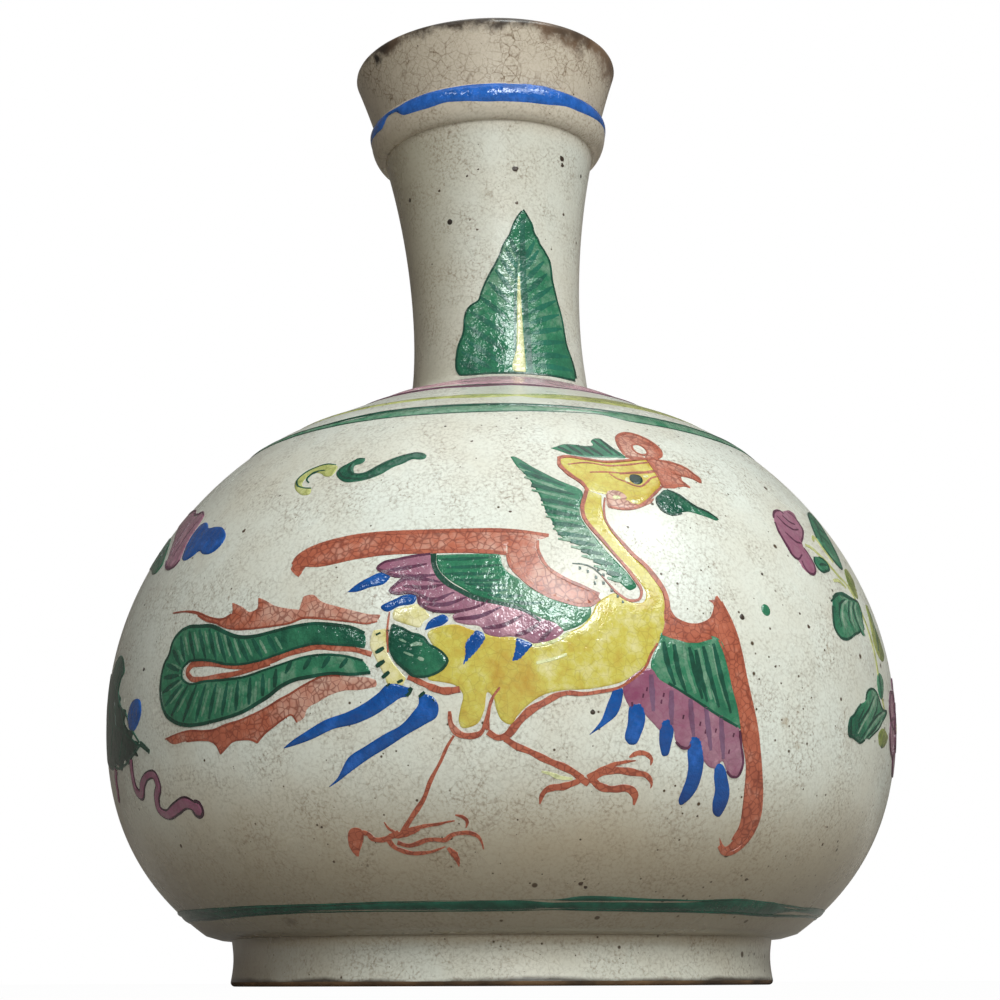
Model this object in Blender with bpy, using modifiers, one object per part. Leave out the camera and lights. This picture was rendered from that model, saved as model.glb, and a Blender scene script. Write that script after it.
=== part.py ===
"""Bottle vase: glazed porcelain, thrown in sections and joined with slip.

Metres, +Z up. The origin is the centre of the foot's underside, and the photographed
side faces -Y. The pot is a foot ring, a lower body with the floor in it, an upper body
with the shoulder, a tall neck and a trumpet mouth. A slip seam lies in each joint, a
coil of clay covers the joint under the mouth, and bands of enamel lie on the glaze.
The neck was joined a little out of upright, so all above the shoulder leans to -X.
"""

import math

import bmesh
import bpy

# Foot
foot_radius = 0.0765
foot_height = 0.0126
foot_ring_width = 0.0110
foot_hollow = 0.0006
foot_bevel = 0.0012
foot_inner_taper = 0.0020

# Body: two superellipse quarters that meet at the widest point
belly_radius = 0.1133
belly_rise = 0.0634
lower_depth = 0.0821
lower_fullness = 2.39
dome_rise = 0.1000
dome_fullness = 1.95
heel_step = 0.0030
heel_chamfer = 0.0012

# Shoulder: a straight slope from the dome to the root of the neck
shoulder_radius = 0.0700
shoulder_slope = math.radians(25.0)
shoulder_rounding = 0.0030
root_rounding = 0.0022

# Neck and mouth: two parabolas that meet at the waist
waist_radius = 0.0255
waist_rise = 0.0204
root_flare = 0.0015
mouth_radius = 0.0413
mouth_rise = 0.0865
neck_lean = math.radians(2.3)

# Coil of clay over the joint under the mouth
coil_drop = 0.0243
coil_height = 0.0104
coil_proud = 0.0024
coil_edge_angle = math.radians(80.0)

# Wall thickness, square to the wall
floor_thickness = 0.0080
body_wall = 0.0065
neck_wall = 0.0045
lip_wall = 0.0034
throwing_ridge = 0.0004

# Joints
slip_thickness = 0.0014
slip_squeeze = 0.0010
belly_joint_rise = 0.0060
collar_height = 0.0035
collar_spare = 0.0030
fit_gap = 0.0003

# Enamel bands: thickness, widths and places measured up the wall
enamel_thickness = 0.0006
enamel_edge = 0.4
foot_band_rise = 0.0062
foot_band_width = 0.0024
shoulder_band_drop = 0.0042
shoulder_band_width = 0.0034
collar_band_rise = 0.0020
collar_band_width = 0.0022
neck_band_drop = 0.0030
neck_band_width = 0.0018

# Fineness of the solids
facets = 48
facet_sag = 0.00018
inner_sag = 0.00060
normal_step = 0.00005
arc_steps = 6
round_steps = 4
crease_angle = math.radians(35.0)

# Heights that follow from the sizes above
belly_height = foot_height + belly_rise
shoulder_share = (shoulder_radius / belly_radius) ** dome_fullness
shoulder_height = belly_height + dome_rise * (1.0 - shoulder_share) ** (1.0 / dome_fullness)
root_radius = waist_radius + root_flare
root_height = shoulder_height + (shoulder_radius - root_radius) * math.tan(shoulder_slope)
collar_top = root_height + collar_height
waist_height = root_height + waist_rise
lip_height = waist_height + mouth_rise
coil_middle = lip_height - coil_drop
belly_joint = belly_height + belly_joint_rise

glaze_colour = (0.62, 0.58, 0.48)
biscuit_colour = (0.36, 0.27, 0.19)
slip_colour = (0.55, 0.49, 0.40)
blue_colour = (0.02, 0.05, 0.42)
green_colour = (0.06, 0.28, 0.10)
yellow_colour = (0.55, 0.55, 0.14)
pink_colour = (0.48, 0.16, 0.20)


def rounded_greater(a, b, width):
    """The greater of two lengths, with the change from one to the other rounded."""
    return 0.5 * (a + b + math.hypot(a - b, width))


def rounded_lesser(a, b, width):
    """The lesser of two lengths, with the change from one to the other rounded."""
    return a + b - rounded_greater(a, b, width)


def belly_wall(height):
    """Radius of the body at a height: a superellipse quarter below and above the widest point."""
    reach, fullness = (lower_depth, lower_fullness) if height < belly_height else (dome_rise, dome_fullness)
    share = min(1.0, abs(height - belly_height) / reach)
    return belly_radius * (1.0 - share**fullness) ** (1.0 / fullness)


def neck_wall_radius(height):
    """Radius of the neck and mouth at a height: a parabola on each side of the waist."""
    if height < waist_height:
        return waist_radius + root_flare * ((waist_height - height) / waist_rise) ** 2
    return waist_radius + (mouth_radius - waist_radius) * ((height - waist_height) / mouth_rise) ** 2


def outer_radius(height):
    """Radius of the glazed outside at a height, before the neck leans."""
    slope = shoulder_radius - (height - shoulder_height) / math.tan(shoulder_slope)
    if height < belly_height:
        return belly_wall(height)
    body = rounded_lesser(belly_wall(height), slope, shoulder_rounding)
    if height > waist_height:
        return neck_wall_radius(height)
    return rounded_greater(body, neck_wall_radius(max(height, root_height)), root_rounding)


def thickness(height):
    """Wall thickness at a height: it thins from the body to the collar, and on to the lip."""
    if height < belly_height:
        return body_wall
    if height < collar_top:
        share = (height - belly_height) / (collar_top - belly_height)
        return body_wall + (neck_wall - body_wall) * share
    share = (height - collar_top) / (lip_height - collar_top)
    return neck_wall + (lip_wall - neck_wall) * share


def wall_point(height):
    return outer_radius(height), height


def wall_path(low, high, sag=facet_sag):
    """Points up the outside, close enough for each chord to stay within the sag of the curve."""
    middle = 0.5 * (low + high)
    (r0, z0), (r1, z1), (rm, zm) = wall_point(low), wall_point(high), wall_point(middle)
    chord = math.hypot(r1 - r0, z1 - z0)
    stray = abs((r1 - r0) * (zm - z0) - (z1 - z0) * (rm - r0)) / chord
    quarter = wall_point(0.5 * (low + middle))
    stray_low = abs((r1 - r0) * (quarter[1] - z0) - (z1 - z0) * (quarter[0] - r0)) / chord
    if max(stray, stray_low) < sag:
        return [(r0, z0), (r1, z1)]
    return wall_path(low, middle, sag)[:-1] + wall_path(middle, high, sag)


def offset_path(path, distances):
    """The path moved outwards, square to itself, by one distance or by one for each point."""
    if isinstance(distances, float):
        distances = [distances] * len(path)
    moved = []
    for i, ((r, z), distance) in enumerate(zip(path, distances)):
        before, after = path[max(i - 1, 0)], path[min(i + 1, len(path) - 1)]
        along_r, along_z = after[0] - before[0], after[1] - before[1]
        length = math.hypot(along_r, along_z)
        moved.append((r + distance * along_z / length, z - distance * along_r / length))
    return moved


def off_wall(height, distance):
    """The point at a distance from the outside, square to it, at a height."""
    (r0, z0), (r1, z1) = wall_point(height - normal_step), wall_point(height + normal_step)
    length = math.hypot(r1 - r0, z1 - z0)
    return outer_radius(height) + distance * (z1 - z0) / length, height - distance * (r1 - r0) / length


def level_inside(height):
    """The inside of the wall straight across from the outside at a height, as at a level rim."""
    (r0, z0), (r1, z1) = wall_point(height - normal_step), wall_point(height + normal_step)
    across = thickness(height) * math.hypot(r1 - r0, z1 - z0) / (z1 - z0)
    return outer_radius(height) - across, height


def inner_path(low, high):
    """The inside of the wall between two level rims, with the ridges that throwing leaves."""
    heights = [z for _, z in wall_path(low, high, inner_sag)][1:-1]
    ridges = [throwing_ridge if i % 2 else 0.0 for i in range(len(heights))]
    between = [off_wall(z, ridge - thickness(z)) for z, ridge in zip(heights, ridges)]
    kept = [(r, z) for r, z in between if low + body_wall < z < high - 0.5 * neck_wall]
    return [level_inside(low)] + kept + [level_inside(high)]


def arc_path(centre, radius, start, end, steps):
    """Points on a circle, at angles measured from +X towards +Z."""
    turns = [start + (end - start) * i / steps for i in range(steps + 1)]
    return [(centre[0] + radius * math.cos(a), centre[1] + radius * math.sin(a)) for a in turns]


def clear_scene():
    for obj in list(bpy.data.objects):
        bpy.data.objects.remove(obj, do_unlink=True)


def new_collection(name):
    collection = bpy.data.collections.new(name)
    bpy.context.scene.collection.children.link(collection)
    return collection


def new_material(name, colour, roughness):
    material = bpy.data.materials.new(name)
    material.use_nodes = True
    shader = material.node_tree.nodes["Principled BSDF"]
    shader.inputs["Base Color"].default_value = (*colour, 1.0)
    shader.inputs["Roughness"].default_value = roughness
    shader.inputs["Metallic"].default_value = 0.0
    material.diffuse_color = (*colour, 1.0)
    return material


def turned(name, profile, material, holder=None):
    """A solid of revolution whose closed profile runs down its outer side.

    A profile that starts and ends on the axis is left open there. A holder is the empty
    that the piece hangs from, and the profile's heights are then taken from its origin.
    """
    base = holder.location.z if holder else 0.0
    mesh = bpy.data.meshes.new(name)
    count = len(profile)
    on_axis = profile[0][0] == 0.0 and profile[-1][0] == 0.0
    edges = [(i, i + 1) for i in range(count - 1)] + ([] if on_axis else [(count - 1, 0)])
    mesh.from_pydata([(r, 0.0, z - base) for r, z in profile], edges, [])
    obj = bpy.data.objects.new(name, mesh)
    vase.objects.link(obj)
    screw = obj.modifiers.new("turn", "SCREW")
    screw.steps = screw.render_steps = facets
    screw.use_merge_vertices = True
    screw.merge_threshold = 1e-6
    solid = bpy.data.meshes.new_from_object(obj.evaluated_get(bpy.context.evaluated_depsgraph_get()))
    obj.modifiers.clear()
    obj.data = solid
    solid.name = name
    solid.materials.append(material)
    solid.shade_smooth()
    solid.set_sharp_from_angle(angle=crease_angle)
    obj.parent = holder
    return obj


def section(low, high):
    """Profile of a length of wall between two heights: up the inside, down the outside."""
    return inner_path(low, high) + wall_path(low, high)[::-1]


def seam(joint):
    """Profile of the slip in a joint of the wall, squeezed out into a bead on the inside."""
    low, high = joint - 0.5 * slip_thickness + fit_gap, joint + 0.5 * slip_thickness - fit_gap
    inner_radius, _ = level_inside(joint)
    bead = (inner_radius - slip_squeeze, joint)
    return [level_inside(low), bead, level_inside(high), wall_point(high), wall_point(low)]


def enamel_on(host):
    """Profile of a band of enamel on a path that runs up the wall, thinner at its edges."""
    last = len(host) - 1
    full = [enamel_edge + (1.0 - enamel_edge) * math.sin(math.pi * i / last) for i in range(last + 1)]
    face = offset_path(host, [fit_gap + enamel_thickness * share for share in full])
    return offset_path(host, fit_gap) + face[::-1]


def wall_band(middle, width):
    """Profile of a band laid on the wall, with its middle at a height and its width along the wall."""
    (r0, z0), (r1, z1) = wall_point(middle - normal_step), wall_point(middle + normal_step)
    rise = width * (z1 - z0) / math.hypot(r1 - r0, z1 - z0)
    return enamel_on([wall_point(middle + rise * (i / 3.0 - 0.5)) for i in range(4)])


def coil_face(start, end, steps):
    """Points up the outside of the coil, from one angle of its half ellipse to another."""
    path = []
    for i in range(steps + 1):
        angle = start + (end - start) * i / steps
        height = coil_middle + 0.5 * coil_height * math.sin(angle) / math.sin(coil_edge_angle)
        path.append(off_wall(height, fit_gap + coil_proud * math.cos(angle)))
    return path


def make_foot(material, slip):
    """The foot ring stands on its flat underside, and its slip seam joins it to the body."""
    top = foot_height - slip_thickness
    inner = foot_radius - foot_ring_width
    middle = 0.5 * (foot_bevel + top)
    turned("foot_ring", [
        (inner + foot_bevel, 0.0),
        (inner, foot_bevel),
        (inner - foot_inner_taper, top),
        (foot_radius, top),
        (foot_radius - foot_hollow, middle),
        (foot_radius, foot_bevel),
        (foot_radius - foot_bevel, 0.0),
    ], material)
    low, high = top + fit_gap, foot_height - fit_gap
    inside = inner - foot_inner_taper
    turned("foot_seam", [
        (inside, low),
        (inside - slip_squeeze, 0.5 * (low + high)),
        (inside, high),
        (foot_radius, high),
        (foot_radius, low),
    ], slip)


def make_lower_body(material):
    """The bowl from the foot to the belly joint, with the floor thrown in one with it."""
    top = belly_joint - 0.5 * slip_thickness
    floor = foot_height + floor_thickness
    inside = [(r, z) for r, z in inner_path(foot_height + heel_chamfer, top) if z > floor + 0.5 * body_wall]
    outside = wall_path(foot_height + heel_chamfer, top)[::-1]
    corner = (inside[0][0] - 0.5 * body_wall, floor)
    turned("lower_body", [(0.0, floor), corner] + inside + outside + [
        (foot_radius + heel_step, foot_height),
        (0.0, foot_height),
    ], material)


def make_upper_body(material):
    """The dome, shoulder and collar. The collar's rim is cut on the plane that the neck leans from."""
    body = turned("upper_body", section(belly_joint + 0.5 * slip_thickness, collar_top + collar_spare), material)
    reach = 2.0 * shoulder_radius
    mesh = bpy.data.meshes.new("collar_trim")
    cube = bmesh.new()
    bmesh.ops.create_cube(cube, size=reach)
    bmesh.ops.translate(cube, verts=cube.verts, vec=(0.0, 0.0, 0.5 * (reach - slip_thickness)))
    cube.to_mesh(mesh)
    cube.free()
    trim = bpy.data.objects.new("collar_trim", mesh)
    trim.parent = neck_pivot
    trim.hide_render = True
    trim.display_type = "WIRE"
    cutters.objects.link(trim)
    cut = body.modifiers.new("collar_trim", "BOOLEAN")
    cut.operation = "DIFFERENCE"
    cut.object = trim


def make_neck(material):
    """The neck runs from the collar up to the joint under the coil."""
    turned("neck", section(collar_top + 0.5 * slip_thickness, coil_middle - 0.5 * slip_thickness), material,
           neck_pivot)


def make_mouth(material):
    """The trumpet mouth ends in a lip that is half a circle across the wall."""
    low = coil_middle + 0.5 * slip_thickness
    lip_round = 0.5 * lip_wall
    top = lip_height - lip_round
    outside, inside = wall_path(low, top), inner_path(low, top)
    outer_end = outside[-1]
    inner_end = off_wall(top, -2.0 * lip_round)
    centre = (0.5 * (outer_end[0] + inner_end[0]), 0.5 * (outer_end[1] + inner_end[1]))
    tilt = math.atan2(outer_end[1] - centre[1], outer_end[0] - centre[0])
    lip = arc_path(centre, lip_round, tilt + math.pi, tilt, round_steps)
    turned("mouth", inside[:-1] + lip + outside[:-1][::-1], material, neck_pivot)


def make_coil(material):
    """A coil of clay, half an ellipse in section, wraps the joint between neck and mouth."""
    low, high = coil_middle - 0.5 * coil_height, coil_middle + 0.5 * coil_height
    seat = [off_wall(z, fit_gap) for z in (low, coil_middle, high)]
    face = coil_face(-coil_edge_angle, coil_edge_angle, arc_steps)
    turned("mouth_coil", seat + face[::-1], material, neck_pivot)


def make_seams(slip):
    turned("belly_seam", seam(belly_joint), slip)
    turned("neck_seam", seam(collar_top), slip, neck_pivot)
    turned("mouth_seam", seam(coil_middle), slip, neck_pivot)


def make_bands():
    """Bands of coloured enamel, each a thin skin on the glaze."""
    green = new_material("green_enamel", green_colour, 0.20)
    turned("foot_band", wall_band(foot_height + foot_band_rise, foot_band_width), green)
    turned("shoulder_band", wall_band(shoulder_height - shoulder_band_drop, shoulder_band_width), green)
    yellow = new_material("yellow_enamel", yellow_colour, 0.25)
    turned("collar_band", wall_band(shoulder_height + collar_band_rise, collar_band_width), yellow)
    pink = new_material("pink_enamel", pink_colour, 0.30)
    turned("neck_band", wall_band(root_height - neck_band_drop, neck_band_width), pink)
    blue = new_material("blue_enamel", blue_colour, 0.12)
    turned("mouth_band", enamel_on(coil_face(0.0, coil_edge_angle, 3)), blue, neck_pivot)


clear_scene()
vase = new_collection("bottle_vase")
cutters = new_collection("cutters")
neck_pivot = bpy.data.objects.new("neck_pivot", None)
neck_pivot.location = (0.0, 0.0, collar_top)
neck_pivot.rotation_euler = (0.0, -neck_lean, 0.0)
neck_pivot.empty_display_size = waist_radius
vase.objects.link(neck_pivot)

glaze = new_material("crackle_glaze", glaze_colour, 0.22)
biscuit = new_material("foot_biscuit", biscuit_colour, 0.80)
joint_slip = new_material("joint_slip", slip_colour, 0.70)

make_foot(biscuit, joint_slip)
make_lower_body(glaze)
make_upper_body(glaze)
make_neck(glaze)
make_mouth(glaze)
make_coil(glaze)
make_seams(joint_slip)
make_bands()
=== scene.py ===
"""Bottle vase: the looks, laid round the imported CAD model.

The pot is glazed stoneware with a crackle that tea and dust have stained, brushed with
overglaze enamels: a phoenix among peonies, cloud scrolls, ribbons and a leaf on the neck.
Glaze and enamel are surfaces in azimuth and height on the same wall as the CAD model's:
azimuth 0 faces the camera along +Y, positive to the right, and heights are in mm here.
"""
import math

import bmesh
import bpy
import numpy as np
from bpy.props import FloatProperty, FloatVectorProperty, PointerProperty
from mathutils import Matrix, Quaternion
from mathutils.geometry import delaunay_2d_cdt


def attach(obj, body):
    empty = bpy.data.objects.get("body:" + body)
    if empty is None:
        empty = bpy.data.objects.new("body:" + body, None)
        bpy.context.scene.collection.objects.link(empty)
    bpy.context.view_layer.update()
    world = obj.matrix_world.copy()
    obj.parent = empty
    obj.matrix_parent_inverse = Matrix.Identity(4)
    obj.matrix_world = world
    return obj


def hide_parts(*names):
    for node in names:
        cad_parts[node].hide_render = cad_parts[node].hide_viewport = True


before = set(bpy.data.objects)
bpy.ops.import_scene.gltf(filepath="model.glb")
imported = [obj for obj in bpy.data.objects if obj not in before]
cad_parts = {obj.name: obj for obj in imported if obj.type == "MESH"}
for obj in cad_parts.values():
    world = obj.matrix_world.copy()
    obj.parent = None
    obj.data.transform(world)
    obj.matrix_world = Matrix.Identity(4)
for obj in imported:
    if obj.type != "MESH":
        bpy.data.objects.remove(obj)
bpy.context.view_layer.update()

bl_info = {
    "name": "Bottle Vase",
    "version": (1, 0, 0),
    "blender": (4, 5, 0),
    "location": "View3D > Sidebar > Vase",
    "description": "Crackled glaze and brushed enamels for a bottle vase",
    "category": "Add Mesh",
}

# The glazed wall in mm, from the same sizes as the part's source
FOOT_RADIUS, FOOT_HEIGHT, FOOT_WIDTH = 76.5, 12.6, 11.0
FOOT_BEVEL, FOOT_HOLLOW, FOOT_TAPER = 1.2, 0.6, 2.0
BELLY_RADIUS, BELLY_HEIGHT = 113.3, 76.0
BOWL_DEPTH, BOWL_FULLNESS = 82.1, 2.39
DOME_RISE, DOME_FULLNESS = 100.0, 1.95
HEEL_STEP, HEEL_CHAMFER = 3.0, 1.2
SHOULDER_RADIUS, SHOULDER_SLOPE, SHOULDER_ROUNDING, ROOT_ROUNDING = 70.0, math.radians(25.0), 3.0, 2.2
WAIST_RADIUS, WAIST_RISE, ROOT_FLARE = 25.5, 20.4, 1.5
MOUTH_RADIUS, MOUTH_RISE = 41.3, 86.5
SHOULDER_HEIGHT = BELLY_HEIGHT + DOME_RISE * (
    1.0 - (SHOULDER_RADIUS / BELLY_RADIUS) ** DOME_FULLNESS) ** (1.0 / DOME_FULLNESS)
ROOT_HEIGHT = SHOULDER_HEIGHT + (SHOULDER_RADIUS - WAIST_RADIUS - ROOT_FLARE) * math.tan(SHOULDER_SLOPE)
COLLAR_TOP = ROOT_HEIGHT + 3.5
WAIST_HEIGHT = ROOT_HEIGHT + WAIST_RISE
LIP_HEIGHT = WAIST_HEIGHT + MOUTH_RISE
COIL_MIDDLE, COIL_HALF, COIL_PROUD = LIP_HEIGHT - 24.3, 5.28, 2.7
BELLY_JOINT = BELLY_HEIGHT + 6.0
NECK_LEAN, LEAN_BLEND = math.radians(2.3), 7.0
BODY_WALL, NECK_WALL, LIP_WALL, FLOOR = 6.5, 4.5, 3.4, 8.0

# Also in mm: how high over the floor the wall's inside ends, the places in from it and over the floor that
# round the corner between them, and how deep the backs of the foot's glaze and the coil lie in the clay
CORNER_RISE, CORNER = 4.0, ((1.2, 1.6), (4.5, 0.0))
FOOT_SKIN, COIL_BACK = 2.0, 0.6

# Steps round the pot in a turned skin and in a band, and the sides of a stroke's section with its back
AROUND, BAND_AROUND, STROKE_SIDES = 288, 720, 8

# Paint in mm: how far the edges of a field and of a stroke or band sink in the glaze, how far the hidden
# backs of a field or stroke and of a band do, and the steps along an outline and along a stroke
FIELD_EDGE, STROKE_EDGE, BACK, BAND_BACK = 0.04, 0.03, 0.12, 0.15
OUTLINE_STEP, STROKE_STEP = 0.55, 0.7

# The camera that took the photograph, in metres
CAMERA_PLACE, CAMERA_LENS, CAMERA_SENSOR = (0.0, -0.5852, 0.0009), 72.0, 36.0
CAMERA_PITCH, CAMERA_ROLL = math.radians(13.56), math.radians(-0.22)


def rounded_greater(a, b, width):
    """The greater of two lengths, with a hyperbola of the given width where they cross."""
    return 0.5 * (a + b + np.hypot(a - b, width))


def neck_radius(height):
    """A parabola on each side of the waist."""
    below = WAIST_RADIUS + ROOT_FLARE * ((WAIST_HEIGHT - height) / WAIST_RISE) ** 2
    above = WAIST_RADIUS + (MOUTH_RADIUS - WAIST_RADIUS) * ((height - WAIST_HEIGHT) / MOUTH_RISE) ** 2
    return np.where(height < WAIST_HEIGHT, below, above)


def wall_radius(height):
    """Radius of the glazed outside: a superellipse quarter below and above the belly, a straight slope
    for the shoulder, and the neck's parabolas, each pair joined by a rounded lesser or greater."""
    height = np.asarray(height, float)
    reach = np.where(height < BELLY_HEIGHT, BOWL_DEPTH, DOME_RISE)
    share = np.minimum(1.0, np.abs(height - BELLY_HEIGHT) / reach)
    power = np.where(height < BELLY_HEIGHT, BOWL_FULLNESS, DOME_FULLNESS)
    belly = BELLY_RADIUS * (1.0 - share**power) ** (1.0 / power)
    slope = SHOULDER_RADIUS - (height - SHOULDER_HEIGHT) / math.tan(SHOULDER_SLOPE)
    body = belly + slope - rounded_greater(belly, slope, SHOULDER_ROUNDING)
    root = rounded_greater(body, neck_radius(np.maximum(height, ROOT_HEIGHT)), ROOT_ROUNDING)
    shoulder = np.where(height > WAIST_HEIGHT, neck_radius(height), root)
    return np.where(height < BELLY_HEIGHT, belly, shoulder)


def wall_normal(height):
    """Outward unit normal of the wall in its own section, by a central difference."""
    step = 0.05
    across = wall_radius(height + step) - wall_radius(height - step)
    length = np.hypot(across, 2.0 * step)
    return 2.0 * step / length, -across / length


def coil_lift(height):
    """How far the coil stands off the wall: half an ellipse about the coil's middle."""
    share = np.clip((height - COIL_MIDDLE) / COIL_HALF, -1.0, 1.0)
    return COIL_PROUD * np.sqrt(1.0 - share**2)


def leaned(x, y, z):
    """The neck's lean: a turn about the collar that grows smoothly from none below to full above."""
    share = np.clip((z - COLLAR_TOP) / (2.0 * LEAN_BLEND) + 0.5, 0.0, 1.0)
    turn = NECK_LEAN * share * share * (3.0 - 2.0 * share)
    rise = z - COLLAR_TOP
    return np.stack([x * np.cos(turn) - rise * np.sin(turn), y,
                     COLLAR_TOP + x * np.sin(turn) + rise * np.cos(turn)], -1)


def turned_point(azimuth, radius, height):
    """A point at an azimuth in radians, a radius and a height in mm, in metres and with the lean."""
    return leaned(radius * np.sin(azimuth), -radius * np.cos(azimuth), height) / 1000.0


def glaze_point(azimuth, height, lift=0.0):
    """A point at an azimuth in radians and a height in mm, lifted off the glaze along its normal."""
    out, up = wall_normal(height)
    return turned_point(azimuth, wall_radius(height) + lift * out, height + lift * up)


WALL_HEIGHTS = np.linspace(FOOT_HEIGHT, LIP_HEIGHT, 5600)
WALL_LENGTHS = np.append(0.0, np.cumsum(np.hypot(np.diff(WALL_HEIGHTS), np.diff(wall_radius(WALL_HEIGHTS)))))


def wall_steps(low, high, step):
    """Heights from low to high, about one step apart along the wall."""
    start, end = np.interp([low, high], WALL_HEIGHTS, WALL_LENGTHS)
    return np.interp(np.linspace(start, end, int((end - start) / step) + 2), WALL_LENGTHS, WALL_HEIGHTS)


def inside_wall(heights):
    """Radius and height of the pot's inside: the wall moved in by its thickness, which thins upwards."""
    thickness = np.interp(heights, [BELLY_HEIGHT, COLLAR_TOP, LIP_HEIGHT], [BODY_WALL, NECK_WALL, LIP_WALL])
    out, up = wall_normal(heights)
    return wall_radius(heights) - thickness * out, heights - thickness * up


def grid_faces(rows, columns, closed_rows):
    """Quads over a grid whose columns go all the way round, and whose rows do where closed_rows is true."""
    row = np.arange(rows if closed_rows else rows - 1)[:, None]
    column = np.arange(columns)[None, :]
    above, beside = (row + 1) % rows, (column + 1) % columns
    corners = [row * columns + column, row * columns + beside,
               above * columns + beside, above * columns + column]
    return np.stack(corners, -1).reshape(-1, 4)


def new_piece(name, points, faces, finish, nodes=(), weld=False, tone=None):
    """An object with its place in its mesh, riding on the pot and standing for the given CAD nodes. It has
    one finish, in its one material slot."""
    mesh = bpy.data.meshes.new(name)
    mesh.vertices.add(len(points))
    mesh.vertices.foreach_set("co", np.ascontiguousarray(points, np.float32).ravel())
    mesh.loops.add(faces.size)
    mesh.loops.foreach_set("vertex_index", np.ascontiguousarray(faces, np.int32).ravel())
    mesh.polygons.add(len(faces))
    mesh.polygons.foreach_set("loop_start", np.arange(len(faces), dtype=np.int32) * faces.shape[1])
    mesh.update(calc_edges=True)
    if tone is not None:
        mesh.attributes.new("tone", "FLOAT", "POINT").data.foreach_set("value", tone.astype(np.float32))
    if weld:
        shape = bmesh.new()
        shape.from_mesh(mesh)
        bmesh.ops.remove_doubles(shape, verts=shape.verts, dist=1e-7)
        bmesh.ops.dissolve_degenerate(shape, edges=shape.edges, dist=1e-8)
        shape.to_mesh(mesh)
        shape.free()
    mesh.validate()
    mesh.materials.append(finish_of(finish))
    mesh.shade_smooth()
    mesh.set_sharp_from_angle(angle=math.radians(40.0))
    piece = bpy.data.objects.new(name, mesh)
    bpy.context.scene.collection.objects.link(piece)
    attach(piece, "root")
    if nodes:
        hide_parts(*nodes)
    return piece


def turned_piece(name, profile, finish, nodes, closed=True):
    """A profile of radius and height in mm, run up its outer side, turned about the pot's axis."""
    profile = np.asarray(profile)
    azimuth = np.linspace(0.0, 2.0 * math.pi, AROUND, endpoint=False)[None, :]
    height = np.broadcast_to(profile[:, 1:], (len(profile), AROUND))
    points = turned_point(azimuth, profile[:, :1], height)
    faces = grid_faces(len(profile), AROUND, closed)
    return new_piece(name, points.reshape(-1, 3), faces, finish, nodes, weld=True)


def section(low, high, step=1.1):
    """Profile of a length of wall: up the outside, then down the inside."""
    outside = wall_steps(low, high, step)
    inside = wall_steps(low, high, 3.0 * step)[::-1]
    radius, height = inside_wall(inside)
    height[0], height[-1] = high, low
    return np.vstack([np.column_stack([wall_radius(outside), outside]), np.column_stack([radius, height])])


def run_through(points, step):
    """Points about one step apart on a smooth open curve through the given ones: a cubic between each two,
    whose slopes are the distance-weighted means of the slopes before and after each point."""
    gap = np.maximum(np.linalg.norm(np.diff(points, axis=0), axis=1), 1e-6)
    knots = np.concatenate([[0.0], np.cumsum(gap)])
    slope = np.gradient(points, knots, axis=0)
    at = np.linspace(0.0, knots[-1], max(2, int(knots[-1] / step) + 1))
    i = np.clip(np.searchsorted(knots, at, side="right") - 1, 0, len(gap) - 1)
    s, g = ((at - knots[i]) / gap[i])[:, None], gap[i][:, None]
    return ((1 + 2 * s) * (1 - s) ** 2 * points[i] + s * (1 - s) ** 2 * g * slope[i]
            + s * s * (3 - 2 * s) * points[i + 1] + s * s * (s - 1) * g * slope[i + 1])


def smooth_outline(points, step):
    """A closed smooth outline through points. A point given twice running is a sharp corner."""
    points = np.asarray(points, float)
    twice = np.flatnonzero(np.linalg.norm(points - np.roll(points, 1, axis=0), axis=1) < 1e-6)
    if not len(twice):
        wrapped = run_through(np.vstack([points[-3:], points, points[:3]]), step)
        half, away = len(wrapped) // 2, np.linalg.norm(wrapped - points[0], axis=1)
        return wrapped[np.argmin(away[:half]):half + np.argmin(away[half:])]
    points = np.roll(points, -twice[0], axis=0)
    runs = np.split(points, twice[1:] - twice[0])
    return np.vstack([run_through(run, step)[:-1] for run in runs if len(run) > 1])


def distance_to(places, rim):
    """Shortest distance from each place to the closed outline, over all its straight edges at once."""
    edge = np.roll(rim, -1, axis=0) - rim
    offset = places[:, None, :] - rim[None, :, :]
    share = np.clip((offset * edge).sum(-1) / np.maximum((edge * edge).sum(-1), 1e-12), 0.0, 1.0)
    return np.linalg.norm(offset - share[..., None] * edge, axis=-1).min(axis=1)


def is_inside(places, rim):
    """True where a ray along the first axis crosses the closed outline an odd number of times."""
    (u0, v0), (u1, v1) = rim.T, np.roll(rim, -1, axis=0).T
    u, v = places[:, :1], places[:, 1:]
    crosses = (v0 > v) != (v1 > v)
    at = u0 + (v - v0) * (u1 - u0) / np.where(v1 == v0, 1e-12, v1 - v0)
    return (crosses & (u < at)).sum(axis=1) % 2 == 1


def laid_flat(places, radius):
    """Azimuth in degrees and height in mm as mm round the wall at one radius, and mm up along the wall."""
    places = np.asarray(places, float)
    return np.column_stack([np.radians(places[:, 0]) * radius,
                            np.interp(places[:, 1], WALL_HEIGHTS, WALL_LENGTHS)])


def laid_back(flat, radius, lift):
    """The reverse of laid_flat, as points on the glaze lifted by the given mm."""
    height = np.interp(flat[..., 1], WALL_LENGTHS, WALL_HEIGHTS)
    return glaze_point(flat[..., 0] / radius, height, lift)


def tone_at(flat, radius, tones):
    """Tone at each place: the given tones weighted by one over the distance squared."""
    if not tones:
        return np.zeros(len(flat))
    marks = laid_flat([mark[:2] for mark in tones], radius)
    weight = 1.0 / (((flat[:, None, :] - marks[None]) ** 2).sum(-1) + 0.3)
    return (weight * np.array([mark[2] for mark in tones])).sum(1) / weight.sum(1)


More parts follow.
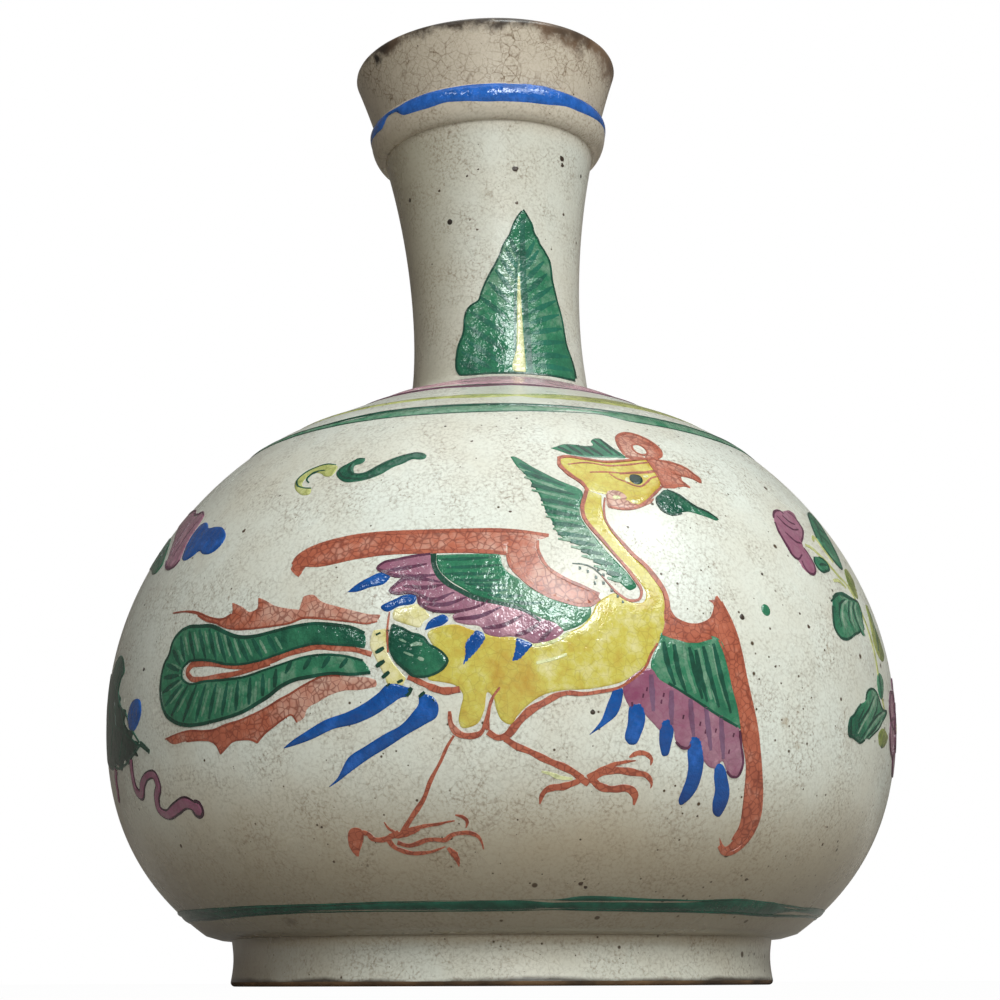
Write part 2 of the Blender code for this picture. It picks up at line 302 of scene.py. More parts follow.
def brushed_field(outline, thickness, tones=(), shoulder=0.6, step=1.5):
    """A closed patch of enamel: its face rises from the glaze as a quarter ellipse over the shoulder's width,
    thickness * sqrt(1 - (1 - distance / shoulder)^2). A free outline has no two-parameter form, so the
    outline, three rings inside it and a square grid are joined by a constrained triangulation."""
    radius = float(wall_radius(np.mean([height for _, height in outline])))
    marks = laid_flat(outline, radius)
    reach = float(np.ptp(marks, axis=0).max())
    rim, step = smooth_outline(marks, min(OUTLINE_STEP, reach / 5.0)), min(step, reach / 3.0)
    turn = np.roll(rim, -1, axis=0) - np.roll(rim, 1, axis=0)
    area = (rim[:, 0] * np.roll(rim[:, 1], -1) - rim[:, 1] * np.roll(rim[:, 0], -1)).sum()
    inward = np.column_stack([-turn[:, 1], turn[:, 0]]) * math.copysign(1.0, area)
    inward /= np.maximum(np.linalg.norm(inward, axis=1, keepdims=True), 1e-9)
    low, high = rim.min(axis=0), rim.max(axis=0)
    grid = np.meshgrid(np.arange(low[0], high[0], step), np.arange(low[1], high[1], step))
    grid = np.stack(grid, -1).reshape(-1, 2)
    grid = grid[is_inside(grid, rim)]
    inner = [grid[distance_to(grid, rim) > shoulder + 0.4 * step]] if len(grid) else []
    for share in (0.18, 0.5, 1.0):
        ring = (rim + inward * share * shoulder)[::1 if share < 0.4 else 2]
        kept = is_inside(ring, rim) & (distance_to(ring, rim) > 0.93 * share * shoulder)
        inner.append(ring[kept])
    places = np.vstack([rim] + inner)
    flat, _, faces, *_ = delaunay_2d_cdt(places.tolist(), [], [list(range(len(rim)))], 1, 1e-5)
    flat = np.array([tuple(place) for place in flat])
    faces = np.array([face for face in faces if len(face) == 3])
    a, b, c = flat[faces[:, 0]], flat[faces[:, 1]], flat[faces[:, 2]]
    clockwise = (b - a)[:, 0] * (c - a)[:, 1] - (b - a)[:, 1] * (c - a)[:, 0] < 0
    faces[clockwise] = faces[clockwise][:, ::-1]
    away = distance_to(flat, rim)
    share = np.clip(away / shoulder, 0.0, 1.0)
    face = laid_back(flat, radius, thickness * np.sqrt(1.0 - (1.0 - share) ** 2) - FIELD_EDGE)
    back = laid_back(flat, radius, -BACK)
    below = np.where(away < 1e-3, np.arange(len(flat)), np.arange(len(flat)) + len(flat))
    tone = tone_at(flat, radius, tones)
    return np.vstack([face, back]), np.vstack([faces, below[faces][:, ::-1]]), np.tile(tone, 2)


def brush_line(places, widths, rise, tone):
    """A closed stroke of the brush: a low flat-topped section of the given widths and rise carried along a
    smooth line, width/2 * cos(t) across and rise * min(1, 2 sin(t)) up, with a slow wave in its width from
    the brush's hairs."""
    radius = float(wall_radius(np.mean([height for _, height in places])))
    line = run_through(laid_flat(places, radius), STROKE_STEP)
    along = np.linspace(0.0, 1.0, len(line))
    width = np.interp(along, np.linspace(0.0, 1.0, len(widths)), widths)
    width = width * (1.0 + 0.10 * np.sin(23.0 * along + 7.0 * places[0][0]))
    heading = np.gradient(line, axis=0)
    heading /= np.maximum(np.linalg.norm(heading, axis=1, keepdims=True), 1e-9)
    across = np.column_stack([-heading[:, 1], heading[:, 0]])
    angle = np.append(np.linspace(0.0, math.pi, STROKE_SIDES - 1), 1.5 * math.pi)[None, :]
    side = 0.5 * width[:, None] * np.cos(angle)
    full = np.minimum(1.0, width / 0.5)[:, None]
    face = rise * full * np.minimum(1.0, 2.0 * np.abs(np.sin(angle))) - STROKE_EDGE
    lift = np.where(angle > math.pi, -BACK, face)
    points = laid_back(line[:, None, :] + across[:, None, :] * side[..., None], radius, lift)
    quads = grid_faces(len(line), STROKE_SIDES, False)
    sides = np.vstack([quads[:, [0, 1, 2]], quads[:, [0, 2, 3]]])
    corner = np.arange(1, STROKE_SIDES - 1)
    fan = np.column_stack([np.zeros_like(corner), corner, corner + 1])
    faces = np.vstack([sides, fan[:, ::-1], fan + STROKE_SIDES * (len(line) - 1)])
    return points.reshape(-1, 3), faces, np.full(STROKE_SIDES * len(line), tone)


def joined(parts):
    """One set of points, faces and tones from several."""
    starts = np.cumsum([0] + [len(points) for points, _, _ in parts[:-1]])
    return (np.vstack([points for points, _, _ in parts]),
            np.vstack([faces + start for (_, faces, _), start in zip(parts, starts)]),
            np.concatenate([tone for _, _, tone in parts]))


def enamel_piece(name, finish, fields=(), lines=()):
    """Painted fields and strokes as one piece. Fields are dicts of brushed_field's arguments, lines are
    tuples of brush_line's."""
    parts = [brushed_field(**one) for one in fields] + [brush_line(*one) for one in lines]
    points, faces, tone = joined(parts)
    return new_piece(name, points, faces, finish, tone=tone)


def ring_band(name, finish, marks, thickness, wave=0.12, nodes=(), coil=False, tone=0.0):
    """A closed band round the pot. Marks give its lower and upper edge by azimuth. A Hann window rounds the
    straight steps between them, and four sines add the small waves of a hand. The face rises by
    thickness * sin(t)^0.6 across, and less where the band is narrow."""
    marks = np.array(marks, float)
    degrees = np.linspace(-180.0, 180.0, BAND_AROUND, endpoint=False)
    wrapped = np.vstack([marks[-1] - [360, 0, 0], marks, marks[0] + [360, 0, 0]])
    edges = [np.interp(degrees, wrapped[:, 0], wrapped[:, k]) for k in (1, 2)]
    blur = np.hanning(15) / np.hanning(15).sum()
    low, high = (np.convolve(np.r_[edge[-7:], edge, edge[:7]], blur, "valid") for edge in edges)
    turn = np.radians(degrees)
    low, high = (edge + wave * sum(np.sin(turn * n + n * n * start) / n**0.5 for n in (7, 13, 29, 47))
                 for edge, start in ((low, 1.0), (high, 2.3)))
    width = np.maximum(high - low, 0.02)
    share = np.linspace(0.0, 1.0, 9)[:, None]
    height = low + share * width
    wall = glaze_point(np.broadcast_to(turn, height.shape), height, coil_lift(height) if coil else 0.0)
    around = np.roll(wall, -1, axis=1) - np.roll(wall, 1, axis=1)
    normal = np.cross(around, np.gradient(wall, axis=0))
    normal /= np.linalg.norm(normal, axis=-1, keepdims=True)
    full = np.clip((high - low) / 0.9, 0.0, 1.0)
    rise = (thickness * full * np.sin(np.pi * share) ** 0.6 - STROKE_EDGE) / 1000.0
    face, back = wall + normal * rise[..., None], wall - normal * (BAND_BACK / 1000.0)
    points = np.concatenate([face, back[-2:0:-1]])
    faces = grid_faces(len(points), BAND_AROUND, True)
    points = points.reshape(-1, 3)
    return new_piece(name, points, faces, finish, nodes, tone=np.full(len(points), tone))


def linear(code):
    """An sRGB hex colour as linear red, green and blue."""
    share = [int(code[i:i + 2], 16) / 255.0 for i in (0, 2, 4)]
    return tuple(c / 12.92 if c <= 0.04045 else ((c + 0.055) / 1.055) ** 2.4 for c in share)


def rgba(colour):
    """A socket as it is, and a colour or its hex code as linear red, green, blue and full alpha."""
    if isinstance(colour, bpy.types.NodeSocket):
        return colour
    return (*(linear(colour) if isinstance(colour, str) else colour), 1.0)


def mixed(a, b, share):
    """A colour between two, by share of the second."""
    return tuple(x + (y - x) * share for x, y in zip(a, b))


def set_inputs(material, node, inputs):
    """Each input of a node is linked where it is given a socket, and set where it isn't."""
    for name, value in inputs.items():
        if isinstance(value, bpy.types.NodeSocket):
            material.node_tree.links.new(value, node.inputs[name])
        else:
            node.inputs[name].default_value = value


def add_node(material, kind, inputs=None, **settings):
    """A node with its settings and its inputs."""
    node = material.node_tree.nodes.new(kind)
    for name, value in settings.items():
        setattr(node, name, value)
    set_inputs(material, node, inputs or {})
    return node


def noise(material, place, scale, detail, roughness=0.5, output="Fac"):
    """A cloudy texture, whose scale is in cells to the metre."""
    return add_node(material, "ShaderNodeTexNoise", {"Vector": place, "Scale": scale, "Detail": detail,
                                                     "Roughness": roughness}).outputs[output]


def remap(material, value, low, high, start=0.0, end=1.0, smooth=False):
    """A value's way from low to high, held at both ends, as a value from start to end."""
    return add_node(material, "ShaderNodeMapRange", {"Value": value, "From Min": low, "From Max": high,
                                                     "To Min": start, "To Max": end},
                    interpolation_type="SMOOTHSTEP" if smooth else "LINEAR").outputs[0]


def maths(material, operation, *values, clamp=False):
    """The result of an operation on sockets and numbers."""
    return add_node(material, "ShaderNodeMath", dict(enumerate(values)), operation=operation,
                    use_clamp=clamp).outputs[0]


def blend(material, share, first, second):
    """A colour socket between two colours, by share of the second."""
    return add_node(material, "ShaderNodeMix", {0: share, 6: rgba(first), 7: rgba(second)},
                    data_type="RGBA").outputs[2]


def bump(material, height, strength, distance):
    """A normal that the light takes for a relief, whose depth is in metres."""
    return add_node(material, "ShaderNodeBump", {"Height": height, "Strength": strength,
                                                 "Distance": distance}).outputs[0]


def new_finish(name, **sockets):
    """A material with only a Principled shader, whose given sockets are set on it."""
    material = bpy.data.materials.new(name)
    material.use_nodes = True
    shader = material.node_tree.nodes["Principled BSDF"]
    set_inputs(material, shader, {socket.replace("_", " "): value for socket, value in sockets.items()})
    return material, shader


def crackle_lines(material, place, cell, line, warp):
    """How strongly a crack shows, 1 on it and 0 off it: the distance to the edges of cells of a given size
    in mm, on coordinates bent by a noise, against a line width in mm that varies from crack to crack."""
    bend = noise(material, place, 420.0 / cell, 2.0, output="Color")
    centred = add_node(material, "ShaderNodeVectorMath", {0: bend, 1: (0.5, 0.5, 0.5)}, operation="SUBTRACT")
    bent = add_node(material, "ShaderNodeVectorMath", {0: centred.outputs[0], 1: (warp / 1000.0,) * 3,
                                                       2: place}, operation="MULTIPLY_ADD")
    cells = add_node(material, "ShaderNodeTexVoronoi", {"Vector": bent.outputs[0], "Scale": 1000.0 / cell},
                     feature="DISTANCE_TO_EDGE")
    width = remap(material, noise(material, place, 300.0 / cell, 1.0), 0.35, 0.65, 0.25 * line / cell,
                  line / cell)
    return remap(material, cells.outputs["Distance"], 0.0, width, 1.0, 0.0)


# Heights in metres over which the glaze darkens towards the heel, dirt together with painted shade of the
# lower belly, and from which that darkening fades down the foot's wall, leaving painted shade of the heel on
# its top
DIRT_AND_SHADE_FROM, DIRT_AND_SHADE_FULL, FOOT_FADE_FROM, FOOT_FADE_FULL = 0.057, 0.014, 0.0135, 0.0095
# Heights between which the brown wear of the lip sets in, and between which that of the foot's edge does
LIP_WEAR, FOOT_WEAR = (0.2860, 0.2905), (-0.0002, -0.0012)
# Cells of the two nets of crazing in mm, the width of their lines and how far they are bent
FINE_NET, WIDE_NET = (1.4, 0.17, 0.9), (2.9, 0.26, 2.0)
# Iron specks in three sizes: their spacing in mm, the largest as a share of it, and the share left out
SPECK_LAYERS = ((8.0, 0.11, 0.2), (4.0, 0.14, 0.3), (2.0, 0.17, 0.6))

# Darker parts of the glaze: the x from which and to which each grows, the heights, its share and its colour.
# The second and third are painted shade on the left of the neck and mouth and on the left of the foot; the
# first and the last darken it all round above their heights
DARKER_ZONES = ((-0.5, -0.4, 0.160, 0.172, 0.35, "B4AFA3"), (-0.008, -0.032, 0.160, 0.172, 0.9, "A0967F"),
                 (-0.035, -0.078, 0.0135, 0.0120, 0.9, "7A6A56"),
                 (-0.5, -0.4, 0.2470, 0.2530, 0.75, "BDB09F"))

# Single stains: azimuth in degrees, height, size in mm, share and colour
STAINS = ((-56, 276.5, 5.5, 1.0, "241A13"), (-35, 279.5, 4.0, 0.8, "3A2A20"),
          (22, 280.0, 4.0, 0.8, "33261C"), (52, 278.5, 4.0, 0.9, "2E2118"),
          (38.9, 63.5, 4.2, 0.55, "94836A"), (41.5, 58.0, 3.0, 0.35, "94836A"),
          (48.5, 84.0, 3.2, 0.3, "94836A"), (-72, 252.0, 4.0, 0.9, "33281F"),
          (-40, 254.5, 4.0, 0.5, "5A4636"), (40, 18.0, 5.0, 0.4, "8C6A44"),
          (-38, 16.0, 6.0, 0.5, "4E4236"))


def crackle_glaze(name, light, warm, stain, mouth=False):
    """Stoneware under a clear, faintly grey glaze, crazed as it cooled. The crazing has taken up tea and
    dust, so the eye sees a net of fine brown lines, a finer pale net within it, iron specks from the clay
    and a warmer, dirtier tone at the mouth. Towards the heel the tone is warmer and darker from dirt and
    painted shade together, and more painted shade darkens the left of the neck and of the foot. Orange
    peel softens its reflections."""
    material, shader = new_finish(name, IOR=1.5, Metallic=0.0)
    place = add_node(material, "ShaderNodeTexCoord").outputs["Object"]
    position = add_node(material, "ShaderNodeSeparateXYZ", {0: place}).outputs
    across, height = position["X"], position["Z"]
    cloud = noise(material, place, 28.0, 4.0, 0.6)

    # Tea and dust in clouds, and towards the heel dirt together with painted shade of the lower belly
    heel_dirt_and_shade = maths(material, "MULTIPLY", remap(material, height, DIRT_AND_SHADE_FROM, DIRT_AND_SHADE_FULL, smooth=True),
                   remap(material, height, FOOT_FADE_FROM, FOOT_FADE_FULL, 1.0, 0.15))
    dirt_and_shade = maths(material, "MULTIPLY_ADD", remap(material, cloud, 0.35, 0.68), 0.38, heel_dirt_and_shade, clamp=True)
    colour = blend(material, heel_dirt_and_shade, blend(material, dirt_and_shade, light, warm), "938A79")
    # Painted shade on the left of the neck and mouth and of the foot, and a greyer glaze all round higher up
    for near, far, start, end, share, tint in DARKER_ZONES:
        zone = maths(material, "MULTIPLY", remap(material, across, near, far),
                     remap(material, height, start, end, 0.0, share))
        colour = blend(material, zone, colour, tint)

    # The crazing, stronger in patches
    fine, wide = (crackle_lines(material, place, *net) for net in (FINE_NET, WIDE_NET))
    fine_share, wide_share = (0.22, 0.5) if mouth else (0.10, 0.2)
    grained = remap(material, noise(material, place, 1300.0, 2.0), 0.46, 0.75, 0.0, 0.45)
    net = maths(material, "MULTIPLY_ADD", wide, wide_share,
                maths(material, "MULTIPLY_ADD", fine, fine_share, grained))
    patchy = remap(material, noise(material, place, 85.0, 3.0), 0.38, 0.62, 0.45, 1.3)
    colour = blend(material, maths(material, "MULTIPLY", net, patchy, clamp=True), colour, stain)

    # Small iron specks, larger towards the lower right, and single stains
    lean = add_node(material, "ShaderNodeVectorMath", {0: place, 1: (6.0, 0.0, -4.0)},
                    operation="DOT_PRODUCT")
    often = remap(material, lean.outputs["Value"], -1.0, 0.6, 0.6, 1.25)
    for spacing, largest, share in SPECK_LAYERS:
        cells = add_node(material, "ShaderNodeTexVoronoi", {"Vector": place, "Scale": 1000.0 / spacing})
        pick = add_node(material, "ShaderNodeSeparateXYZ", {0: cells.outputs["Color"]}).outputs["X"]
        radius = maths(material, "MULTIPLY", remap(material, pick, share, 1.0, 0.0, largest), often)
        speck = remap(material, cells.outputs["Distance"], 0.0, radius, 3.0, 0.0)
        colour = blend(material, speck, colour, "4A3B2C")
    rough_edge = noise(material, place, 420.0, 4.0, 0.7)
    for azimuth, stain_height, size, share, tint in STAINS:
        if (stain_height > COIL_MIDDLE) == mouth:
            centre = glaze_point(math.radians(azimuth), np.array(float(stain_height))).tolist()
            far = add_node(material, "ShaderNodeVectorMath", {0: place, 1: centre}, operation="DISTANCE")
            ragged = maths(material, "MULTIPLY_ADD", rough_edge, 0.0009 * size, far.outputs["Value"])
            inside = remap(material, ragged, 0.0009 * size, 0.0006 * size, 0.0, share)
            colour = blend(material, inside, colour, tint)

    # Wear: glaze gone brown under the lip, and dark on the foot's lower edge
    if mouth:
        edge = maths(material, "MULTIPLY_ADD", noise(material, place, 60.0, 5.0, 0.7), 0.022, height)
        brown = blend(material, remap(material, cloud, 0.42, 0.56), "6E5643", "2A1E16")
        colour = blend(material, remap(material, edge, *LIP_WEAR, 0.0, 0.95, smooth=True), colour, brown)
    stood = maths(material, "MULTIPLY_ADD", cloud, -0.005, height)
    colour = blend(material, remap(material, stood, *FOOT_WEAR, 0.0, 0.9), colour, "2E241C")

    sunk = maths(material, "MULTIPLY_ADD", wide, -0.1, noise(material, place, 170.0, 2.0))
    gloss = remap(material, cloud, 0.0, 1.0, 0.18, 0.38)
    set_inputs(material, shader, {"Base Color": colour, "Roughness": gloss,
                                  "Normal": bump(material, sunk, 0.35, 0.0004)})
    return material


def overglaze(name, pale, full, deep, crackle=0.35, cell=2.8, crack_colour=None, roughness=0.12, relief=0.7,
              crack_width=0.26, mottle=0.45):
    """Lead-fluxed glass brushed over the glaze and fused in a second fire. It lies thick and glossy, pools
    darker where the brush stopped, thins pale at its edge, and crazes over the cracks beneath. The tone
    attribute runs from -1, pale, through 0 to 1, deep."""
    material, shader = new_finish(name, IOR=1.54, Metallic=0.0, Roughness=roughness)
    place = add_node(material, "ShaderNodeTexCoord").outputs["Object"]
    tone = add_node(material, "ShaderNodeAttribute", attribute_name="tone").outputs["Fac"]
    drift = remap(material, noise(material, place, 190.0, 4.0, 0.65), 0.3, 0.7, -mottle, mottle)
    level = maths(material, "ADD", tone, drift)
    light = blend(material, remap(material, level, -1.0, 0.0), pale, full)
    glass = blend(material, remap(material, level, 0.0, 1.0), light, deep)
    cracks = crackle_lines(material, place, cell, crack_width, 1.6)
    colour = blend(material, maths(material, "MULTIPLY", cracks, crackle), glass, crack_colour or deep)
    sunk = maths(material, "MULTIPLY_ADD", cracks, -0.03, noise(material, place, 300.0, 3.0, 0.6))
    set_inputs(material, shader, {"Base Color": colour, "Normal": bump(material, sunk, relief, 0.0008)})
    return material


def biscuit_clay(name):
    """Fired clay left bare where the foot stands, so that it didn't stick to the kiln shelf: matt, gritty,
    burnt orange-brown and dark with handling."""
    material, shader = new_finish(name, IOR=1.45, Roughness=0.85)
    place = add_node(material, "ShaderNodeTexCoord").outputs["Object"]
    grit = noise(material, place, 900.0, 3.0)
    patches = remap(material, noise(material, place, 70.0, 4.0), 0.35, 0.65)
    set_inputs(material, shader, {"Base Color": blend(material, patches, "6B5138", "3A2C20"),
                                  "Normal": bump(material, grit, 0.6, 0.0004)})
    return material


# The painting. Each place is (azimuth in degrees, height in mm); a place given twice is a sharp corner.

TAIL = [
    (-16.9, 83), (-18.5, 84.5), (-21, 85.6), (-24, 86.3), (-27, 86), (-30, 85.2), (-33, 84.6), (-35.5, 85),
    (-37.5, 86.3), (-39, 87.6), (-40.5, 88.8), (-43, 89.4), (-45.5, 89.8), (-47.3, 89), (-48.6, 87),
    (-49.2, 83.5), (-50.2, 81), (-50.7, 77.5), (-50.7, 73.5), (-50.2, 70.5), (-49.2, 67.8), (-47.5, 65.9),
    (-45, 64.5), (-42, 64.2), (-39, 64.6), (-36.5, 65.2), (-34, 66.2), (-32, 67.7), (-30, 69.4),
    (-28.5, 71.2), (-26.5, 72.6), (-24, 73.2), (-21, 73.6), (-18.5, 73.1), (-16, 73.3)]
TAIL_INSIDE = [
    (-17, 76.3), (-19.5, 77.7), (-22, 78.3), (-25, 78.1), (-28, 76.9), (-31, 75.7), (-34, 74.6), (-37, 74.5),
    (-41, 74.8), (-44.5, 75), (-45.8, 76.8), (-45.8, 78.8), (-44.5, 80.5), (-42.5, 80.5), (-40, 79.8),
    (-37.5, 78.5), (-35, 77.9), (-32, 78.2), (-29, 79.3), (-26, 80.6), (-23.5, 81.2), (-21, 80.7),
    (-19, 80.2), (-16.8, 79.6)]
TAIL_RIBS = [
    ((-26.8, 77.2), (-27.6, 74.4)), ((-24, 77.9), (-25, 75)), ((-21.4, 77.8), (-22.4, 75)),
    ((-19, 77), (-20, 74.8)), ((-30.6, 84.3), (-29, 79.9)), ((-33, 84), (-31.2, 78.9)),
    ((-35.4, 84.4), (-33.4, 78.4)), ((-37.4, 85.6), (-35.4, 78.4)), ((-39.2, 87), (-37.2, 78.9)),
    ((-41, 88.2), (-39, 79.8)), ((-43, 88.6), (-41, 80.6)), ((-45.2, 88.8), (-43.2, 81)),
    ((-47, 87.8), (-45.2, 80.6)), ((-48.4, 84.6), (-46.2, 80)), ((-49.6, 81), (-46.4, 78.6)),
    ((-50, 77.6), (-46.4, 77.4)), ((-50.1, 73.8), (-46.2, 76.2)), ((-49.5, 70.2), (-45.6, 75)),
    ((-48, 67.4), (-44.4, 74.4)), ((-45.4, 65.4), (-42.6, 74.2)), ((-42.8, 65), (-40.8, 74)),
    ((-40.2, 65.2), (-38.8, 73.8)), ((-37.8, 65.7), (-36.8, 73.7)), ((-35.4, 66.4), (-35, 73.9)),
    ((-33.2, 67.6), (-33, 74.3)), ((-31, 69.4), (-31, 74.9)), ((-29.2, 71.2), (-29, 75.8))]
TAIL_SLIT = [
    [(-15.9, 77.7), (-18, 79), (-21, 79.9), (-23.5, 80.4), (-27, 79.4), (-30, 77.9), (-33, 76.9)],
    [(-31.6, 77.4), (-34, 77.3), (-36, 77.6), (-39, 78.7), (-42, 79.5), (-44, 79.4), (-44.7, 78), (-44, 76.3),
     (-42, 75.4), (-38, 75.5), (-35, 75.8), (-32, 76.8), (-30, 77.4)]]
UPPER_FLAME = [
    (-50.3, 94.9), (-50.3, 94.9), (-46.5, 94.3), (-44, 93.3), (-42, 91.8), (-40.5, 90.9), (-38.5, 90.4),
    (-37.3, 91.3), (-37.6, 94.5), (-37.6, 94.5), (-35.5, 92.8), (-34, 91.2), (-33, 91.8), (-33.1, 94.8),
    (-33.1, 94.8), (-31.8, 93.8), (-30.3, 92.2), (-28, 90.9), (-26.3, 90.3), (-26.3, 90.3), (-25.9, 93.7),
    (-25.9, 93.7), (-24.5, 93.9), (-23.2, 92), (-21, 90.4), (-18.5, 88.9), (-16.2, 87.7), (-14.8, 87.5),
    (-14.8, 87.5), (-15.3, 85.8), (-15.3, 85.8), (-16.5, 85.4), (-18.5, 86), (-21, 86.8), (-23.5, 87.6),
    (-25.5, 88), (-27.5, 87), (-30, 86.7), (-33, 86.7), (-36.5, 87.2), (-38.5, 88.3), (-40, 89.6),
    (-41.8, 90.6), (-44, 92.6), (-46.5, 93.9)]
LOWER_FLAME = [
    (-49.8, 61.8), (-49.8, 61.8), (-47, 62.6), (-44, 62.9), (-41.5, 62.4), (-39.5, 62.4), (-37.5, 63.2),
    (-35, 63.9), (-32.5, 65.2), (-30.5, 66.5), (-28.5, 68.2), (-27, 69.3), (-25.5, 70.7), (-24, 72),
    (-22, 73.2), (-20, 73), (-18, 72.6), (-16, 72), (-15.2, 71.4), (-15.2, 71.4), (-15.2, 69.8),
    (-15.2, 69.8), (-17.5, 69.2), (-19.5, 69.2), (-21.5, 68.2), (-23, 66.8), (-24.5, 65.4), (-25, 63.3),
    (-26, 62.3), (-26, 62.3), (-26.8, 64.3), (-28, 63.4), (-29.5, 61.8), (-31, 60.2), (-32.2, 58.3),
    (-32.2, 58.3), (-33, 59), (-34.5, 59.3), (-36.5, 58.9), (-37.4, 57.8), (-38.6, 56.4), (-38.6, 56.4),
    (-39, 58.2), (-40, 59.6), (-42, 60.3), (-45, 60.4), (-48.5, 60.4)]
RUMP_COLLAR = [
    (-15.8, 83.6), (-15.8, 83.6), (-13.9, 84), (-13.9, 84), (-13.9, 78.2), (-13.1, 75.4), (-12.2, 73.2),
    (-11.5, 71.6), (-11.5, 71.6), (-12.1, 69.6), (-12.9, 69.2), (-13.8, 70.2), (-14.3, 72.5), (-14.9, 74.8),
    (-15.5, 77), (-16.2, 80.5)]
RUMP_DOTS = [
    ([(-15.4, 78), (-14.3, 79.2)], 1.2), ([(-15.3, 74.7), (-14.2, 76)], 1.3),
    ([(-14.5, 71.9), (-13.6, 73.3)], 1.2), ([(-12.6, 70.6), (-11.9, 71.2)], 1.0),
    ([(-14, 69.8), (-13.5, 70.4)], 0.8), ([(-11.5, 67.4), (-10.8, 69.3)], 1.5),
    ([(-9.9, 67), (-9.2, 68.2)], 1.1), ([(-8.5, 65.5), (-8.1, 66.3)], 1.2),
    ([(-15.4, 82.4), (-14.8, 82.9)], 0.8), ([(-14, 82.9), (-13.8, 83.5)], 0.8)]
RUMP_SCALES = [
    (-13.3, 84.8), (-13.6, 82), (-13.5, 78.4), (-12.8, 75.9), (-11.6, 73.7), (-10.6, 72.1), (-9.3, 71.8),
    (-7.9, 72.5), (-6.8, 74), (-6.4, 75.6), (-6.8, 77), (-7.7, 78.5), (-8.8, 79.8), (-9.2, 81), (-10, 82),
    (-10.8, 82.4), (-12.1, 83.9)]
# Painted highlights on the rump's dark scales: places and width in mm
RUMP_GLINTS = [
    ([(-12.4, 81.1), (-11.5, 80.3)], 0.7), ([(-11, 79.4), (-10.2, 79.8), (-9.5, 79.6)], 1.2),
    ([(-11.8, 77.9), (-10.6, 76.9)], 0.7), ([(-10, 76.4), (-9.3, 75.8)], 1.2),
    ([(-9.2, 78.6), (-8.5, 78.4)], 0.6), ([(-12.6, 83), (-11.8, 82.8)], 0.5)]
# Painted highlights streaked over the yellow body: places and width in mm
BODY_HIGHLIGHT_STREAKS = [
    ([(4.3, 74.8), (6, 75.6), (8, 77)], 0.8), ([(3.8, 79), (5.6, 79.6), (7.2, 80.8), (8.3, 82.3)], 0.9)]
RUMP_PATCH = [
    (-13.3, 88.3), (-11.8, 89.2), (-10, 89.6), (-9, 87.5), (-8.6, 86.6), (-9.4, 85.3), (-9.9, 83.8),
    (-11, 84.3), (-12.3, 85.2), (-13.3, 86.2)]
TAIL_FEATHERS = [
    [(-28.5, 56.2), (-28.5, 56.2), (-27, 58), (-25, 59.9), (-22, 62.6), (-19, 64.2), (-17, 65.9), (-15, 68.4),
     (-13.8, 70.4), (-12.9, 70.5), (-11.6, 69.6), (-10.8, 69), (-11.3, 67.2), (-12, 67), (-13.5, 65.3),
     (-15.5, 63), (-18, 61.2), (-21, 60.2), (-24, 58.1), (-27, 56.7)],
    [(-22.8, 46.2), (-22.8, 46.2), (-21.1, 48.6), (-19.1, 53.6), (-16.9, 55.9), (-14.3, 58.6), (-12.2, 60.6),
     (-10.8, 63.3), (-10, 65.4), (-9.9, 67.4), (-8.2, 67), (-7.5, 64.5), (-7.7, 62.4), (-9.3, 60.4),
     (-11.4, 58.3), (-14, 55.4), (-16.4, 53), (-19, 50.1), (-21.1, 47.7)]]

BODY = [
    (-8.9, 82.4), (-7.2, 84), (-5.2, 84.3), (-3.9, 83.3), (-2, 82), (0, 81.2), (1.8, 81), (3.3, 79.5),
    (5, 79.2), (6.8, 80.4), (8.2, 82.3), (10, 84.2), (11.3, 87.2), (12, 89.8), (13.2, 91.6), (14.4, 92.6),
    (15.2, 91.8), (16.5, 90.5), (18.2, 90.9), (18.6, 93), (18, 95.5), (16.9, 98.3), (15.8, 100.8),
    (14.6, 103), (13.2, 106.6), (12.2, 109.5), (11.6, 112), (11.4, 115), (11.9, 118), (12.6, 121),
    (12.6, 121), (14.6, 119.5), (14.6, 119.5), (14.3, 116.5), (14.3, 113.8), (14.6, 111), (15.6, 107.5),
    (16.7, 104.6), (18, 101.5), (19.5, 98.5), (20.5, 95.5), (21, 92), (20.9, 88.5), (20.7, 85), (20.2, 82.3),
    (19.2, 78.8), (18.3, 76), (16.8, 72.9), (15, 70.8), (12.5, 69.4), (10, 68.6), (7.5, 68.3), (5.2, 67.2),
    (3.3, 64.8), (2, 62.2), (1.2, 60.2), (0.2, 61), (-0.6, 64), (-0.9, 66.5), (-1.5, 67.8), (-2, 63.5),
    (-2.8, 60.5), (-3.8, 59.6), (-4.8, 59.6), (-5.1, 61), (-4.9, 64), (-4.6, 67.5), (-5.4, 69.4),
    (-7.2, 70.4), (-8.8, 71.2), (-8.4, 74), (-8, 78)]
HEAD = [
    (9.1, 130.5), (10.1, 130.9), (13.2, 130.5), (16.8, 129.9), (20, 130.8), (22.4, 131.6), (24.1, 132.2),
    (24.6, 129.9), (24.9, 126.9), (24.7, 124.3), (23.5, 122.2), (22.4, 120.5), (21.2, 118.7), (20, 117.5),
    (18.2, 118.1), (15.1, 119.9), (12.6, 121.1), (11.8, 123.4), (10.6, 125.2), (9.7, 126.9), (9.2, 129)]
WATTLE = [
    (15.2, 116), (15.2, 119), (15.5, 120.9), (16.5, 121.4), (17.6, 121.1), (18.4, 119.8), (18.6, 118.2),
    (19.6, 117.6), (21, 118.2), (22.8, 120), (22.2, 118.6), (20.8, 117.2), (19.2, 116), (17.2, 115.6)]
